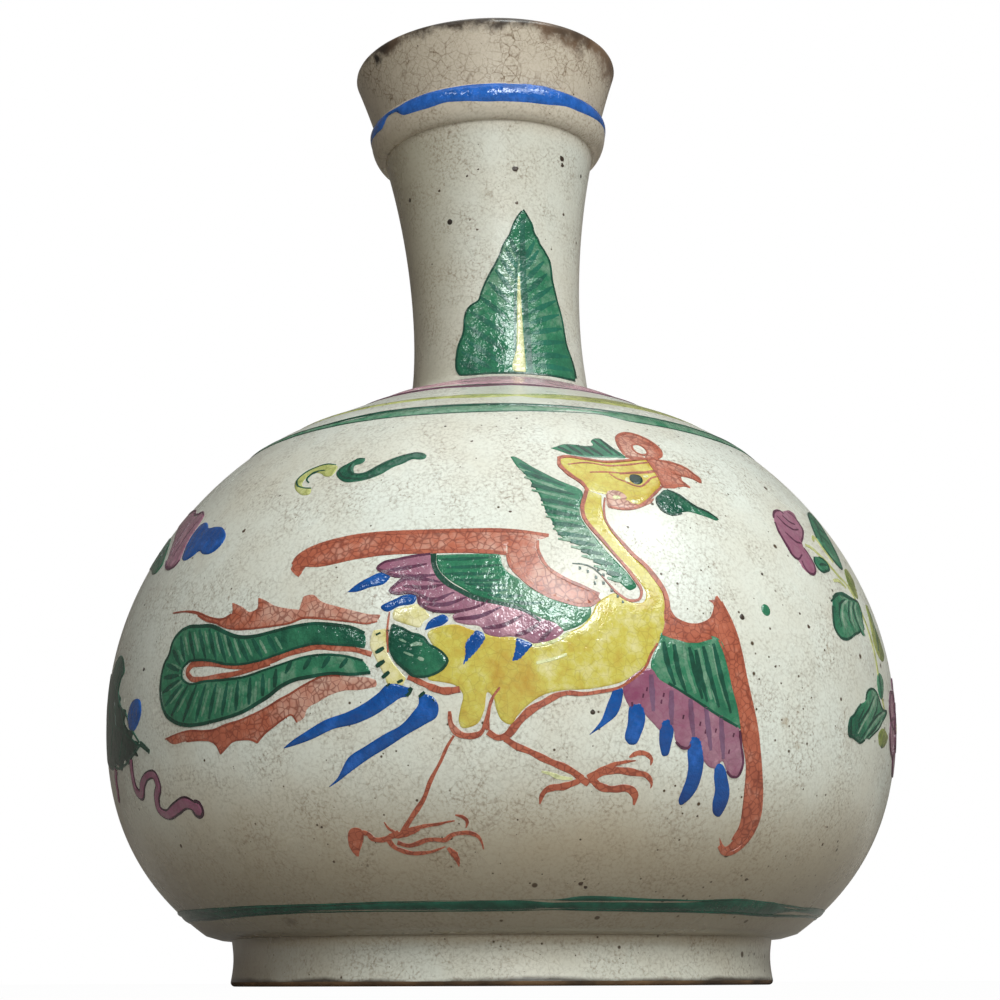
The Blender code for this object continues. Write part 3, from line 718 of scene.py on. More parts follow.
WATTLE_SPOTS = [
    [(16, 119.2), (16.6, 119.8), (17.4, 119.5), (17.5, 118.8), (16.8, 118.4), (16.1, 118.6)],
    [(18.7, 118.6), (19.5, 118.9), (20.1, 118.3), (19.6, 117.7), (18.8, 117.8)]]
EYE = [(19.6, 125), (20, 126.5), (20.9, 126.9), (21.8, 126.4), (21.9, 124.9), (21.2, 123.7), (20.3, 123.5)]
EYE_CORNERS = [
    [(18.7, 125.4), (18.7, 125.4), (19.5, 125.9), (19.7, 124.6), (19.5, 123.7), (18.9, 124.4)],
    [(22, 126.3), (22.9, 127), (23.3, 126.9), (22.4, 125.9)]]
CREST_RING = [
    (23.9, 132.1), (23.9, 132.1), (22.4, 132), (20.7, 132.7), (20.3, 135.2), (20.3, 138), (21.5, 140.4),
    (23.6, 141.4), (25.6, 140.9), (27.4, 139), (28.2, 136.4), (27.6, 134.2), (26, 133), (24.2, 132.3),
    (24.2, 132.3), (24.2, 133.9), (24.2, 133.9), (25.1, 134.6), (25, 136), (24.2, 137.3), (23.1, 136.9),
    (22.8, 135.5), (23.4, 134.3), (24, 133.8), (24, 133.8)]
BEAK = [
    (25, 133.6), (26.9, 132.7), (28.7, 132.5), (30.2, 132), (31.4, 131.1), (32.3, 129.5), (33, 128.3),
    (32.7, 126.6), (32.7, 126.6), (31.3, 127.8), (29.4, 128.2), (29.4, 128.2), (29.2, 126.9), (30.1, 124.5),
    (30.1, 124.5), (29, 124.8), (28, 124.6), (26.6, 123.9), (25, 123.4), (24.8, 127.2), (24.4, 132)]
CREST_FEATHERS = [
    (8.1, 133.9), (8.1, 133.9), (8.8, 134.3), (10.6, 135.5), (12.4, 135.5), (14.1, 135.2), (15.6, 135.8),
    (15.4, 136.9), (16.2, 138.1), (17.4, 138.3), (18.2, 136.4), (19.4, 134.6), (20.3, 133.1), (20.6, 132.2),
    (18.8, 131.9), (16.5, 131.6), (13.5, 131.4), (11.2, 131.9), (9.4, 133.1)]
CREST_STROKES = [
    ((9.4, 134.4), (11.4, 132.4)), ((11, 135.2), (13.2, 132)), ((12.8, 135.2), (15, 132)),
    ((14.6, 135), (16.6, 132)), ((15.9, 137.4), (18.3, 132.6)), ((17.2, 137.8), (19.6, 132.6))]
NAPE = [
    (1.6, 130.8), (1.6, 130.8), (2.2, 130.9), (3.2, 129.9), (5, 127.5), (6.8, 125.5), (8.5, 123.7),
    (10.3, 122.2), (11.3, 121.4), (11.8, 120.5), (11.6, 118.1), (11.2, 116.4), (11, 113.4), (11.3, 111.6),
    (12.4, 108.1), (13.8, 104), (15.6, 99.9), (16.8, 96.9), (17.4, 94.6), (16.5, 93.5), (15.3, 95.2),
    (13.8, 97.5), (12.6, 100.5), (11.2, 102.8), (10, 105.2), (8.5, 106.4), (7.4, 108.7), (7.1, 110.8),
    (6.3, 113.7), (5.9, 116.9), (4.9, 121.4), (3.8, 124.9), (2.6, 127.5)]
NAPE_STROKES = [
    ((2.9, 128.4), (6.2, 125)), ((3.6, 125.8), (9.5, 121.6)), ((4.5, 121.8), (10.6, 119.2)),
    ((5.7, 117.6), (10.8, 115.8)), ((6.2, 114.2), (11, 112.8)), ((7, 110.8), (11.4, 110)),
    ((7.6, 108), (12, 107.2)), ((9.2, 106), (12.6, 105)), ((10.5, 103.6), (13.4, 102.6)),
    ((12, 101), (14.5, 100)), ((13.6, 98), (15.6, 97.2))]
BEARD = [
    (25, 122.9), (25.9, 122.9), (26.8, 122.1), (28.2, 120.3), (29.6, 118.7), (31.4, 117.4), (32.9, 115.8),
    (32.9, 115.8), (32.4, 115.3), (31, 115.8), (29.4, 116.4), (27.8, 116.8), (26.2, 116.2), (24.7, 115.3),
    (23.4, 116.2), (22.8, 118), (22.9, 119.8), (24, 121.6)]

WING_BAR = [
    (-28.5, 102.4), (-28.2, 103.8), (-27.2, 105.3), (-25.1, 106.8), (-22.2, 107.9), (-19.2, 108.4),
    (-16.9, 108.7), (-13.4, 108.4), (-8.9, 108.5), (-4.5, 108.5), (-0.1, 108.2), (2.8, 108.1), (5.3, 107.8),
    (6.35, 107.1), (5.5, 106.4), (4.1, 106), (0.9, 104.6), (0.8, 102.4), (-1.6, 103.1), (-4.5, 103.4),
    (-7.5, 103.6), (-10.4, 103.4), (-13.4, 103.8), (-16.3, 103.4), (-19.2, 103.1), (-22.2, 102.4),
    (-24.2, 101.8), (-26, 101.9), (-26.6, 100.6), (-26.8, 99.4), (-26.8, 99.4), (-27.5, 100.3),
    (-28.2, 101.2)]
WING_ARM = [
    (0.8, 106.5), (0.9, 104.1), (0.9, 102.1), (1.2, 99.4), (1.8, 97.6), (2.8, 95.9), (4.3, 93.5), (5.8, 91.8),
    (7.5, 90.6), (9.6, 89.5), (11.1, 89.7), (12.2, 90.9), (12.4, 91.8), (11.6, 92.9), (10.2, 93.8),
    (8.4, 95.3), (6.9, 97.1), (5.6, 99.1), (5, 101.2), (4.7, 103.5), (4.7, 106)]
COVERTS = [
    (-8.2, 102.4), (-8.2, 102.4), (-4.5, 102.4), (-1.6, 102.4), (-0.1, 102.1), (0.3, 99.4), (0.9, 97.6),
    (2.2, 95.9), (3.7, 93.5), (5.5, 91.8), (7.2, 90.3), (9.3, 89.3), (11.2, 88.8), (11.1, 86.5), (10.2, 84.7),
    (8.7, 83.2), (7.5, 82.6), (6.4, 84.4), (4.6, 85.6), (3.1, 87.4), (1.4, 88.8), (-0.7, 89.7), (-2.8, 91.2),
    (-4.8, 93.5), (-6.6, 95.9), (-7.8, 98.5), (-8.2, 100.9)]
COVERTS_EDGE = [
    (-8.6, 102.6), (-8.5, 100), (-7.8, 97.1), (-6.6, 94.7), (-5.1, 92.9), (-3.1, 90.9), (-1.6, 90.1),
    (0.2, 89.3), (2.2, 88.2), (3.7, 86.8), (4.9, 85)]
COVERTS_VEINS = [
    ((-7.5, 101), (-4, 101), (-1, 101.3)), ((-6.8, 98.8), (-3, 98.9), (0.2, 99.3)),
    ((-7, 97.2), (-3.6, 97), (-0.5, 97)), ((-5.8, 95.6), (-3, 95.3), (0, 95.4)),
    ((-4.5, 94.6), (-2, 94.1), (1, 94)), ((-3, 93), (-1, 92.7), (1, 92.8)),
    ((-1.6, 91.6), (1, 91.2), (3, 91.4)), ((1, 90), (3.4, 89.4), (5.6, 89.8))]
PINK_UPPER = [
    (-9, 102.6), (-11.6, 102.1), (-13.4, 101.5), (-15.1, 100.9), (-15.9, 99.6), (-14.9, 98.4), (-13.6, 97.3),
    (-12.3, 96.6), (-13, 95.3), (-13.9, 93.3), (-12.9, 92.6), (-11.6, 92.8), (-10.3, 92), (-10, 89.8),
    (-8.9, 88.3), (-7, 87.5), (-5, 87.6), (-2.9, 88.6), (-1.4, 90.1), (-3.1, 90.9), (-5.1, 92.9),
    (-6.6, 94.7), (-7.8, 97.1), (-8.5, 100)]
PINK_LOWER = [
    (-5.9, 86.3), (-4.9, 87.9), (-2.9, 89.6), (-1.4, 90.4), (0.4, 89.8), (2.6, 88.5), (4.2, 87.1),
    (5.6, 85.6), (6.9, 84.9), (7.8, 83), (7, 81.2), (5.8, 79.8), (4.3, 79.3), (2.8, 80.6), (1.5, 81.2),
    (-0.5, 81), (-1.9, 82), (-2.4, 83.5), (-4.2, 84.2), (-5.6, 85.2)]
PINK_STROKES = [
    ((-15, 98.5), (-12.2, 99.1), (-9.2, 100)), ((-13.6, 97.3), (-11.6, 96.8), (-8, 97)),
    ((-13.4, 94.7), (-12.2, 96.2), (-10.4, 96.2), (-7.3, 95)), ((-12.2, 94.4), (-9.2, 93.8), (-6.8, 94.6)),
    ((-10.2, 92.2), (-8.6, 90.6), (-5.7, 92.4)), ((-9.6, 89.6), (-6.6, 89.4), (-4, 91.2)),
    ((-5.6, 85.6), (-2.6, 86.2), (0.2, 88.6)), ((-2.2, 83.2), (0.4, 84), (2.8, 86.6)),
    ((1.8, 81.4), (3.4, 82.6), (4.8, 84.6)), ((4.6, 79.8), (5.4, 81.4), (6.4, 83.4))]
WING_TIPS = [
    [(-19.7, 93.7), (-19.7, 93.7), (-18.6, 95.5), (-17, 97.2), (-15.2, 98.4), (-14, 97.6), (-14.6, 95.5),
     (-16.5, 94.6), (-18.5, 93.6)],
    [(-15, 89.2), (-13.3, 91.2), (-11.6, 92.3), (-10.4, 91.6), (-10.6, 90.2), (-12.6, 89.3), (-14.3, 88.1)],
    [(-9.3, 83), (-9.3, 83), (-8.9, 85), (-7.9, 86.4), (-6.9, 86.9), (-6.3, 85.6), (-6.9, 84.4),
     (-8.2, 83.6)],
    [(-4.9, 73.3), (-4.9, 73.3), (-4.4, 77), (-4.4, 79.5), (-3.6, 81.8), (-3, 82.8), (-1.7, 81), (-2.2, 79),
     (-3.4, 76.2)],
    [(1.2, 74.9), (1.2, 74.9), (1.6, 78), (1.9, 80.8), (3, 80.2), (3.9, 79.2), (3.2, 77.2), (2.2, 75.3)]]

FAR_ARCH = [
    (20.8, 93.5), (21.5, 90.5), (21.8, 87.6), (23, 86.4), (24.5, 86), (25.9, 86.4), (27.1, 87.6),
    (27.9, 89.9), (28.1, 91.4), (27.3, 92.6), (27.3, 92.6), (28.4, 92.9), (28.9, 94.2), (28.9, 94.2),
    (29.5, 92.3), (30.3, 88.2), (31, 84.1), (31.5, 79.4), (32.1, 73.5), (32.9, 67.6), (33.8, 61.7),
    (34.6, 55.8), (35.4, 49.9), (36.1, 45.2), (36.5, 40.5), (36.1, 36.4), (35.1, 33.5), (33.9, 32),
    (32.7, 32), (31.5, 33.5), (30.9, 35.5), (30.9, 35.5), (31.4, 34.6), (32.6, 33.2), (33.4, 34.6),
    (33.9, 38.2), (33.6, 42.3), (33.4, 47), (33.3, 49.9), (32.7, 54.6), (32, 59.4), (31.4, 62.3),
    (30.9, 66.4), (30.1, 71.1), (29.5, 75.8), (28.9, 79.9), (28.3, 82.6), (27.1, 83.2), (25.6, 82.3),
    (24.2, 81.8), (22.7, 82.3), (21.2, 82.9), (20.4, 83.2), (20.5, 86.4)]
FAR_COVERTS = [
    (20, 83.2), (21.8, 82.6), (24.2, 82), (25.9, 82.6), (27.7, 83.3), (28.8, 82), (29.2, 78.4), (30, 73.7),
    (30.7, 69), (31.4, 64.8), (31.4, 60.9), (29.5, 61.8), (27.7, 63.9), (25.9, 65.3), (24.2, 67.3),
    (22.4, 68.8), (20.7, 70.5), (19, 72.4), (18.6, 75), (19.2, 78.6), (19.8, 81)]
FAR_COVERT_LINES = [
    ((20.4, 81), (20.8, 76), (21.8, 70.5)), ((21.8, 80.5), (22.3, 74), (23.3, 68.8)),
    ((23.9, 80), (24.6, 74), (25.6, 67.6)), ((24.8, 79.5), (25.4, 73), (26.3, 67)),
    ((25.9, 80.5), (26.8, 73), (28, 65.8)), ((27.4, 81.4), (28.4, 73), (29.8, 64.6))]
FAR_PINK = [
    (17.9, 74.2), (15.9, 72), (15, 69.6), (15.6, 65.4), (16.6, 63.3), (17.2, 64.2), (18, 62.8), (19, 61),
    (20, 59.5), (20.8, 60.6), (21.6, 60), (22, 57.4), (22.9, 55.8), (23.8, 55.7), (24.5, 57.4), (25.4, 56),
    (26.2, 52.9), (27.1, 51.5), (28.1, 51.2), (29, 53), (29.7, 51.2), (30.6, 49.6), (31.6, 49.5),
    (32.2, 51.6), (31.9, 56), (31.3, 59.4), (31.3, 61.4), (29.2, 63.4), (27.3, 65.1), (25.9, 66.6),
    (23.5, 68.8), (21.7, 70.2), (19.8, 72), (19.2, 74)]
FAR_PINK_LINES = [
    ((18.6, 72.8), (18.7, 69), (18.9, 64)), ((21.3, 69.2), (21.3, 65), (21.4, 61)),
    ((23.9, 67.4), (24.1, 63), (24.5, 58.4)), ((26.1, 65.6), (26.5, 61), (27.1, 55.4)),
    ((28.3, 63.8), (28.6, 59), (29.1, 53.6))]
FAR_PINK_SPOTS = [
    (17.5, 67.6), (18, 69.2), (19.9, 66.4), (20.2, 68), (22.9, 63), (25.3, 61.6), (26.1, 59.8), (27.6, 60.2),
    (29.8, 55.4), (30.3, 59.4)]
FAR_PINK_EDGE = [
    ((31.3, 60.6), (31.7, 57), (32.2, 52), (31.6, 49.6), (30.6, 49.6), (29.9, 50.8)),
    ((22.1, 57), (22.9, 55.8), (23.8, 55.7), (24.3, 56.8)), ((16.1, 66), (16.4, 63.8), (17.1, 64.2))]
FAR_TIPS = [
    [(10.6, 57.6), (10.6, 57.6), (12.2, 61.4), (13.2, 66.3), (14.1, 69.4), (14.9, 69.2), (14.9, 66.5),
     (14.2, 62.8), (12.9, 60.6)],
    [(16.1, 65.6), (15.6, 60.8), (15.4, 57), (15.9, 56), (16.7, 56), (17.4, 58.4), (17.9, 62.6), (17.2, 66)],
    [(20.2, 62.2), (19.8, 58.4), (20, 55.4), (20.5, 53.5), (21, 53.6), (21.5, 56.4), (21.7, 60.2),
     (20.9, 62.6)],
    [(24.3, 58.8), (23.8, 55.2), (24.1, 51), (24, 48.4), (23.6, 45.6), (23.4, 43), (23.7, 42.3), (24.6, 43.2),
     (25.7, 45.8), (26.2, 49.2), (26.2, 54), (25.2, 58.6)],
    [(28.2, 52.6), (28, 49.8), (28.5, 46), (28.5, 42.8), (29, 40.6), (29.9, 39.9), (30.7, 42.2), (30.9, 45.4),
     (30.3, 48.6), (28.9, 52.4)]]

# Iron-red outlines of the phoenix: the places of each line, and its widths in mm from start to end
RED_LINES = [
    ([(-11.3, 71.8), (-9.6, 70.4), (-8.2, 69.1), (-6.8, 68.3), (-5.7, 68.4), (-4.9, 68.7)],
     (1.1, 1.5, 1.9, 1.7)),
    ([(-13.8, 88), (-13.95, 84), (-13.8, 78)], (0.4, 0.6, 0.4)),
    ([(-6.2, 63.5), (-6, 60.3), (-5.1, 58.2), (-3.7, 57.6), (-2.4, 58.4), (-1.9, 60.5), (-1.5, 63.5)],
     (0.7, 1.7, 1.6, 1.1, 0.7)),
    ([(-0.1, 69), (-1, 66.5), (-1.4, 64), (-1.6, 61), (-1.6, 59)], (0.6, 0.9, 1.0)),
    ([(-1.6, 58.6), (-0.4, 57.2), (0.8, 57.8), (1.6, 59.6), (2.6, 61.8), (3.6, 63.6), (5.2, 65.4),
      (7.2, 67.4), (8.2, 67.8)], (1.4, 2.0, 1.9, 1.2)),
    ([(8.2, 67.8), (9.9, 67.6), (12, 68.2), (14.5, 69.4), (16.4, 71.8), (18, 74.8), (18.6, 77.5),
      (19.6, 80.5)], (1.2, 0.7, 0.7)),
    ([(12.6, 121.2), (12, 118.6), (11.4, 115.4), (11.5, 112.6), (12.4, 109.6), (13.6, 106.5), (14.9, 103),
      (16.3, 99.5), (17.3, 96.5), (18, 93.5), (17.6, 91.4), (16.3, 90.9), (14.9, 92.4), (13.9, 94.5),
      (12.9, 97)], (1.1, 1.3, 1.0, 0.9, 0.9, 0.7, 0.4)),
    ([(15, 118.8), (14.5, 115.5), (14.4, 112.5), (15.2, 109), (16.3, 106), (17.5, 103), (18.9, 100.5),
      (20.2, 97), (21.2, 93.5), (21.4, 90), (21.1, 86.5)], (0.6, 0.7, 1.3, 1.5, 1.2)),
    ([(9.3, 130.8), (9.1, 128.6), (9.8, 126.6), (10.8, 124.8), (12, 123), (12.6, 121)], (1.1, 1.3, 1.0)),
    ([(9.1, 130.5), (10.1, 131.1), (13.2, 130.7), (16.8, 130.2), (20, 131.1), (22.4, 132), (24.3, 132.4)],
     (1.2, 0.9, 1.0)),
    ([(10.4, 128.6), (13.2, 129.4), (17.2, 128.9), (20, 129.6), (22.6, 130.6), (24.2, 131.2)],
     (0.5, 0.7, 0.6)),
    ([(13.6, 126.4), (16.6, 126.8), (18.7, 126.8), (20.1, 127.2)], (0.5, 0.6, 0.4)),
    ([(16.6, 126.5), (17.7, 124.9), (18.6, 124.3)], (0.4, 0.5, 0.5)),
    ([(18.3, 126.5), (20.5, 127.2), (22.8, 127.7), (24.9, 128.6)], (0.7, 0.9, 1.2)),
    ([(18.6, 124.4), (19.7, 123.4), (21, 123), (22.3, 124.4), (23.4, 126), (24.6, 126.8)], (0.5, 0.6, 0.6)),
    ([(24.7, 123.7), (22.6, 120.6), (21, 118.2), (19.2, 116.4), (17, 115.8), (15.4, 116.2)], (0.8, 0.9, 0.7)),
    ([(24.4, 132), (24.9, 127.4), (25.1, 123.6)], (0.8, 1.0, 0.7)),
    ([(0.9, 102.4), (1.3, 99.2), (2.9, 95.6), (5.8, 91.5), (7.6, 90.3), (9.7, 89.2), (11.3, 89.5),
      (12.4, 91)], (0.9, 1.0, 0.9)),
    ([(28.3, 82.4), (28.9, 79.8), (29.6, 75.6), (30.2, 71), (31, 66.2), (31.6, 61.6), (32.2, 57.4),
      (33, 52.4), (33.4, 46.8), (33.7, 42), (33.9, 38), (33.3, 34.8)], (0.7, 1.0, 1.0, 0.7)),
    ([(20.3, 83), (22.7, 82), (24.3, 81.6), (25.8, 82.1), (27.2, 83)], (1.0, 1.2, 1.0))]
# The same, where they lie on bare glaze or on the wash
LOW_RED_LINES = [
    ([(25.1, 123.7), (26.6, 124.2), (28, 124.8), (29.2, 125), (30, 124.6)], (0.9, 1.5, 1.1, 0.6)),
    ([(28.6, 126.6), (29.3, 125.7), (29.9, 124.8)], (0.5, 1.0, 0.5)),
    ([(27.7, 128.9), (29.4, 128.3), (31.3, 127.8), (32.6, 126.8)], (0.4, 0.7, 0.5, 0.7)),
    ([(25.2, 133.1), (26.9, 132.5), (28.7, 132.3), (30.2, 131.8), (31.4, 130.9), (32.3, 129.3), (32.9, 127.9),
      (32.6, 126.7)], (1.0, 1.1, 0.9, 0.8)),
    ([(20.6, 133.2), (20.3, 136.6), (20.9, 139.6), (23.4, 141.3), (25.8, 140.7), (27.6, 138.6), (28.1, 136.2),
      (27.3, 134), (25.4, 132.8), (22.8, 132.3), (20.5, 132.8)], (0.9, 1.2, 1.1, 1.3)),
    ([(22.6, 135.4), (22.9, 136.9), (24.2, 137.5), (25.1, 136.4), (25.3, 135), (24.4, 133.9), (23.2, 134.1),
      (22.6, 135.4)], (0.6, 0.8, 0.6)),
    ([(-28.4, 102.6), (-28.1, 104.2), (-26.9, 105.9), (-25, 107.2), (-22, 108.2), (-17, 109), (-11, 108.8),
      (-4.5, 108.8), (2.8, 108.4), (6.4, 107.4)], (1.1, 1.3, 1.3, 1.0)),
    ([(-27, 99.2), (-27.8, 100.4), (-28.4, 101.6), (-27, 102), (-24.2, 101.6), (-19.2, 102.9), (-13.4, 103.5),
      (-7.5, 103.3), (-1.6, 102.9), (0.8, 102.4)], (0.9, 1.2, 1.4, 1.1)),
    ([(4.9, 106), (4.9, 103.5), (5.3, 101.1), (6, 98.9), (8.6, 95.5), (10.4, 94), (12.4, 92.2)],
     (0.8, 1.0, 0.8)),
    ([(20.6, 86.2), (21.3, 89.8), (22.2, 87.2), (24.4, 85.7), (26.2, 86.2), (27.4, 87.6), (28.2, 90.2),
      (28.8, 93.6)], (0.7, 1.0, 0.8)),
    ([(29.4, 92.5), (30.4, 88.2), (31.1, 84), (31.6, 79.4), (32.2, 73.5), (33, 67.5), (33.9, 61.6),
      (34.7, 55.7), (35.5, 49.8), (36.2, 45), (36.7, 40.3), (36.4, 36.2), (35.3, 33.2), (33.9, 31.7),
      (32.6, 31.7), (31.4, 33.3)], (0.7, 1.2, 1.4, 1.6, 1.1)),
    ([(-5.7, 57.8), (-6.5, 55.5), (-7.4, 52), (-8.8, 47.5), (-9.95, 43), (-10.8, 41), (-11.7, 39),
      (-12.5, 37.2), (-13.2, 35.4)], (0.7, 0.8, 1.1, 1.3, 1.5)),
    ([(-18.6, 36), (-17.9, 35.7), (-17.5, 34.7), (-15.9, 34.3), (-15, 34.8), (-13.6, 35.9)], (1.4, 1.4)),
    ([(-15.4, 38.3), (-14.9, 36.8), (-14.2, 36)], (0.3, 0.9)),
    ([(-15, 35.1), (-13.3, 35.3), (-11.5, 36), (-10.7, 36.5)], (1.2, 1.8, 1.3, 0.6)),
    ([(-12.8, 36), (-11.2, 36.8), (-9.6, 37.3), (-8.1, 37.6), (-6.9, 38.1), (-6, 38.3)],
     (1.1, 1.0, 0.8, 0.3)),
    ([(-5.9, 39.6), (-5, 39.2), (-4.4, 38.2), (-4.6, 36.7)], (0.4, 0.9, 1.0, 0.3)),
    ([(-14, 33.6), (-12.5, 32.8), (-11.2, 33.3), (-10, 34), (-8.7, 34.1), (-7.4, 34), (-6.6, 35),
      (-5.3, 35.5), (-4.1, 35.5), (-3, 34.6), (-2.6, 33.4), (-2.4, 31.8)], (1.2, 1.2, 1.2, 1.2, 1.1, 0.3)),
    ([(-15.2, 34.2), (-14.7, 32.8), (-13.5, 31.7), (-12.2, 31.1), (-10.8, 31.1), (-9.4, 31.4), (-8.3, 32),
      (-7.5, 32.5)], (1.3, 1.3, 1.2, 0.8, 0.3)),
    ([(-7.2, 32.2), (-6.4, 30.7), (-6, 29.2), (-5.9, 27.9)], (0.8, 1.9, 1.3, 0.2)),
    ([(0.5, 57), (1.8, 55.3), (3.5, 54), (4.9, 52.7), (6.3, 51.5), (7.7, 50.5), (8.9, 49.4), (10.1, 47.8)],
     (1.7, 1.6, 1.8, 1.8)),
    ([(9.4, 48.4), (10.3, 47.5), (11, 46.7)], (1.0, 2.0, 1.5)),
    ([(9.9, 47.4), (8.9, 46.7), (7.8, 46), (6.4, 45.7), (5.7, 45.2), (5.2, 44.2), (4.9, 42)],
     (1.1, 1.6, 1.8, 1.8, 1.5, 1.2, 0.4)),
    ([(11, 48.3), (11.6, 49), (12.8, 50.2), (14.2, 51.3), (15.5, 51.9), (16.9, 52.3)], (1.4, 1.3, 1.0, 0.3)),
    ([(16, 53), (17, 54), (17.8, 54.1), (18.6, 53.5), (19, 52.6), (18.9, 51.3)],
     (0.4, 1.3, 1.3, 1.2, 1.1, 0.3)),
    ([(10.9, 47.8), (11.6, 48.5), (12.7, 49.5), (14.1, 49.9), (15.7, 49.8), (17.2, 49.4), (18.4, 49),
      (19.1, 47.8), (19.3, 46.8), (19.2, 46)], (2.0, 2.3, 1.9, 1.8, 1.9, 1.8, 1.5, 1.2, 0.3)),
    ([(11, 48), (11.5, 47.6), (12.2, 46.4), (13.3, 45.7), (14.5, 45.6), (15.8, 45.9), (16.6, 45.5),
      (17.2, 44.3), (17.2, 42.1)], (1.8, 2.0, 1.9, 1.8, 1.8, 2.2, 1.8, 0.6))]
PALE_TOE = ([(5, 49.4), (6.1, 48.9), (7.2, 48.1), (8.9, 47.8)], (0.5, 1.2, 0.6))
CLAW_BLOT = [
    (-20.15, 37.1), (-19.2, 37.2), (-18.6, 36.6), (-18.6, 35), (-19.1, 33.2), (-19.7, 31.6), (-20.1, 30.3),
    (-20.6, 31.2), (-21, 32.6), (-21, 34.6), (-20.7, 36.2)]
COLLAR_DOTS = [
    (12, 96.5), (12.9, 95.1), (13.9, 93.3), (14.6, 91.8), (11, 98), (13, 97.2), (10, 98.8), (11.8, 95),
    (12.4, 98.6), (15.2, 90.4), (13.4, 99.6)]

HOOK = [
    (-26.6, 130.8), (-28, 132), (-30, 132.4), (-32, 131.5), (-33.4, 130), (-33.9, 128.3), (-33.3, 126),
    (-32, 124), (-30.5, 122.8), (-29.6, 122.9), (-29.8, 124.8), (-31, 125.4), (-32, 126.5), (-32, 128.3),
    (-31.2, 129.8), (-29.5, 129.4), (-28, 128), (-27, 128), (-26.6, 129.4)]
HOOK_LINES = [
    [(-27.2, 131.6), (-29, 132.2), (-31, 131.7), (-32.8, 130.2), (-33.5, 128.2), (-32.8, 126.4),
     (-31.2, 125.2), (-29.8, 124.8)],
    [(-28.2, 130), (-29.6, 130.2), (-31.2, 129.6), (-31.6, 128), (-30.8, 126.8)]]
DOUBLE_HOOK = [
    (-26.4, 129), (-26, 130.6), (-25, 131.6), (-24, 132.6), (-23, 133), (-22.2, 132.6), (-22, 131.6),
    (-22.6, 130.8), (-23.4, 130.6), (-23.3, 129), (-22.6, 127.6), (-21, 127.4), (-20, 128.4), (-19, 129.8),
    (-17.5, 131), (-15.5, 132.4), (-13.5, 133.2), (-12.2, 132.8), (-11.6, 131.8), (-11.8, 130.8),
    (-12.6, 130.6), (-13.8, 130.9), (-15, 129.8), (-16.5, 128.8), (-18, 127), (-20, 125.6), (-22, 125.1),
    (-24, 125.4), (-25.4, 126.8)]
DOUBLE_HOOK_LINES = [
    [(-22.2, 132.4), (-23.5, 132.6), (-24.2, 131), (-24, 128.8), (-22.8, 127.5), (-21, 127.5), (-19.5, 129),
     (-17.5, 131), (-15, 132.4), (-13, 132.8), (-11.9, 131.6)],
    [(-26, 129.5), (-25, 127.4), (-23, 126.2), (-20.5, 125.9), (-18.5, 127)]]

LEFT_BLUE = [
    (-54.2, 119.8), (-53.6, 121), (-52, 121.3), (-50.8, 120.2), (-50, 119), (-48, 118.6), (-46, 117.9),
    (-44.6, 116.4), (-43.6, 114.5), (-43.6, 112.5), (-44.4, 110.8), (-46, 110), (-48, 110.8), (-49, 111.8),
    (-50.4, 110.8), (-52, 110.1), (-53.6, 111), (-54.2, 113.5), (-54.6, 116.5)]
LEFT_PINK = [
    (-54.4, 121.5), (-54.9, 124.5), (-56.5, 125.7), (-59, 125.8), (-61, 126.6), (-63, 128.5), (-66, 129.3),
    (-70, 130.2), (-76, 131.8), (-82, 133.5), (-90, 132), (-96, 128), (-90, 126), (-82, 129), (-76, 128.2),
    (-70, 126.2), (-66, 123), (-63, 119.5), (-61, 115.5), (-60, 112.8), (-58.5, 110.5), (-56.8, 109.6),
    (-54.8, 110), (-54.2, 111), (-54.6, 114), (-54.9, 118)]
LEFT_PINK_LINES = [
    [(-55, 124.4), (-56.6, 126), (-59, 126.2), (-61, 127), (-63, 128.8), (-66, 129.7), (-70, 130.6),
     (-76, 132.2), (-82, 133.6)],
    [(-60, 112.6), (-58.5, 110.2), (-56.8, 109.3), (-54.8, 109.8), (-54.2, 111)],
    [(-56, 123), (-57, 118), (-57.6, 113)], [(-60, 124), (-60, 119), (-59.4, 114)]]
LEFT_LEAF = [
    (-104, 124), (-104, 124), (-96, 124.8), (-88, 125.4), (-82, 125.5), (-76, 124.8), (-71, 123.6),
    (-67, 121.5), (-64, 118), (-62.2, 114.5), (-61.3, 111.8), (-62.5, 110.2), (-64.6, 110.3), (-68, 112.6),
    (-72, 114.4), (-76, 115.6), (-82, 117.8), (-90, 120)]
LEFT_LEAF_LINES = [
    [(-63, 111.6), (-66.5, 116), (-71, 119), (-78, 121), (-88, 122.6), (-98, 123.6)],
    [(-66, 115.4), (-66.6, 119.8)], [(-70, 118.4), (-70.6, 122.4)], [(-75, 120.2), (-76, 124)],
    [(-66.5, 115.8), (-68, 113.4)], [(-71.5, 119), (-73, 115.6)], [(-78, 120.8), (-80, 117.8)]]

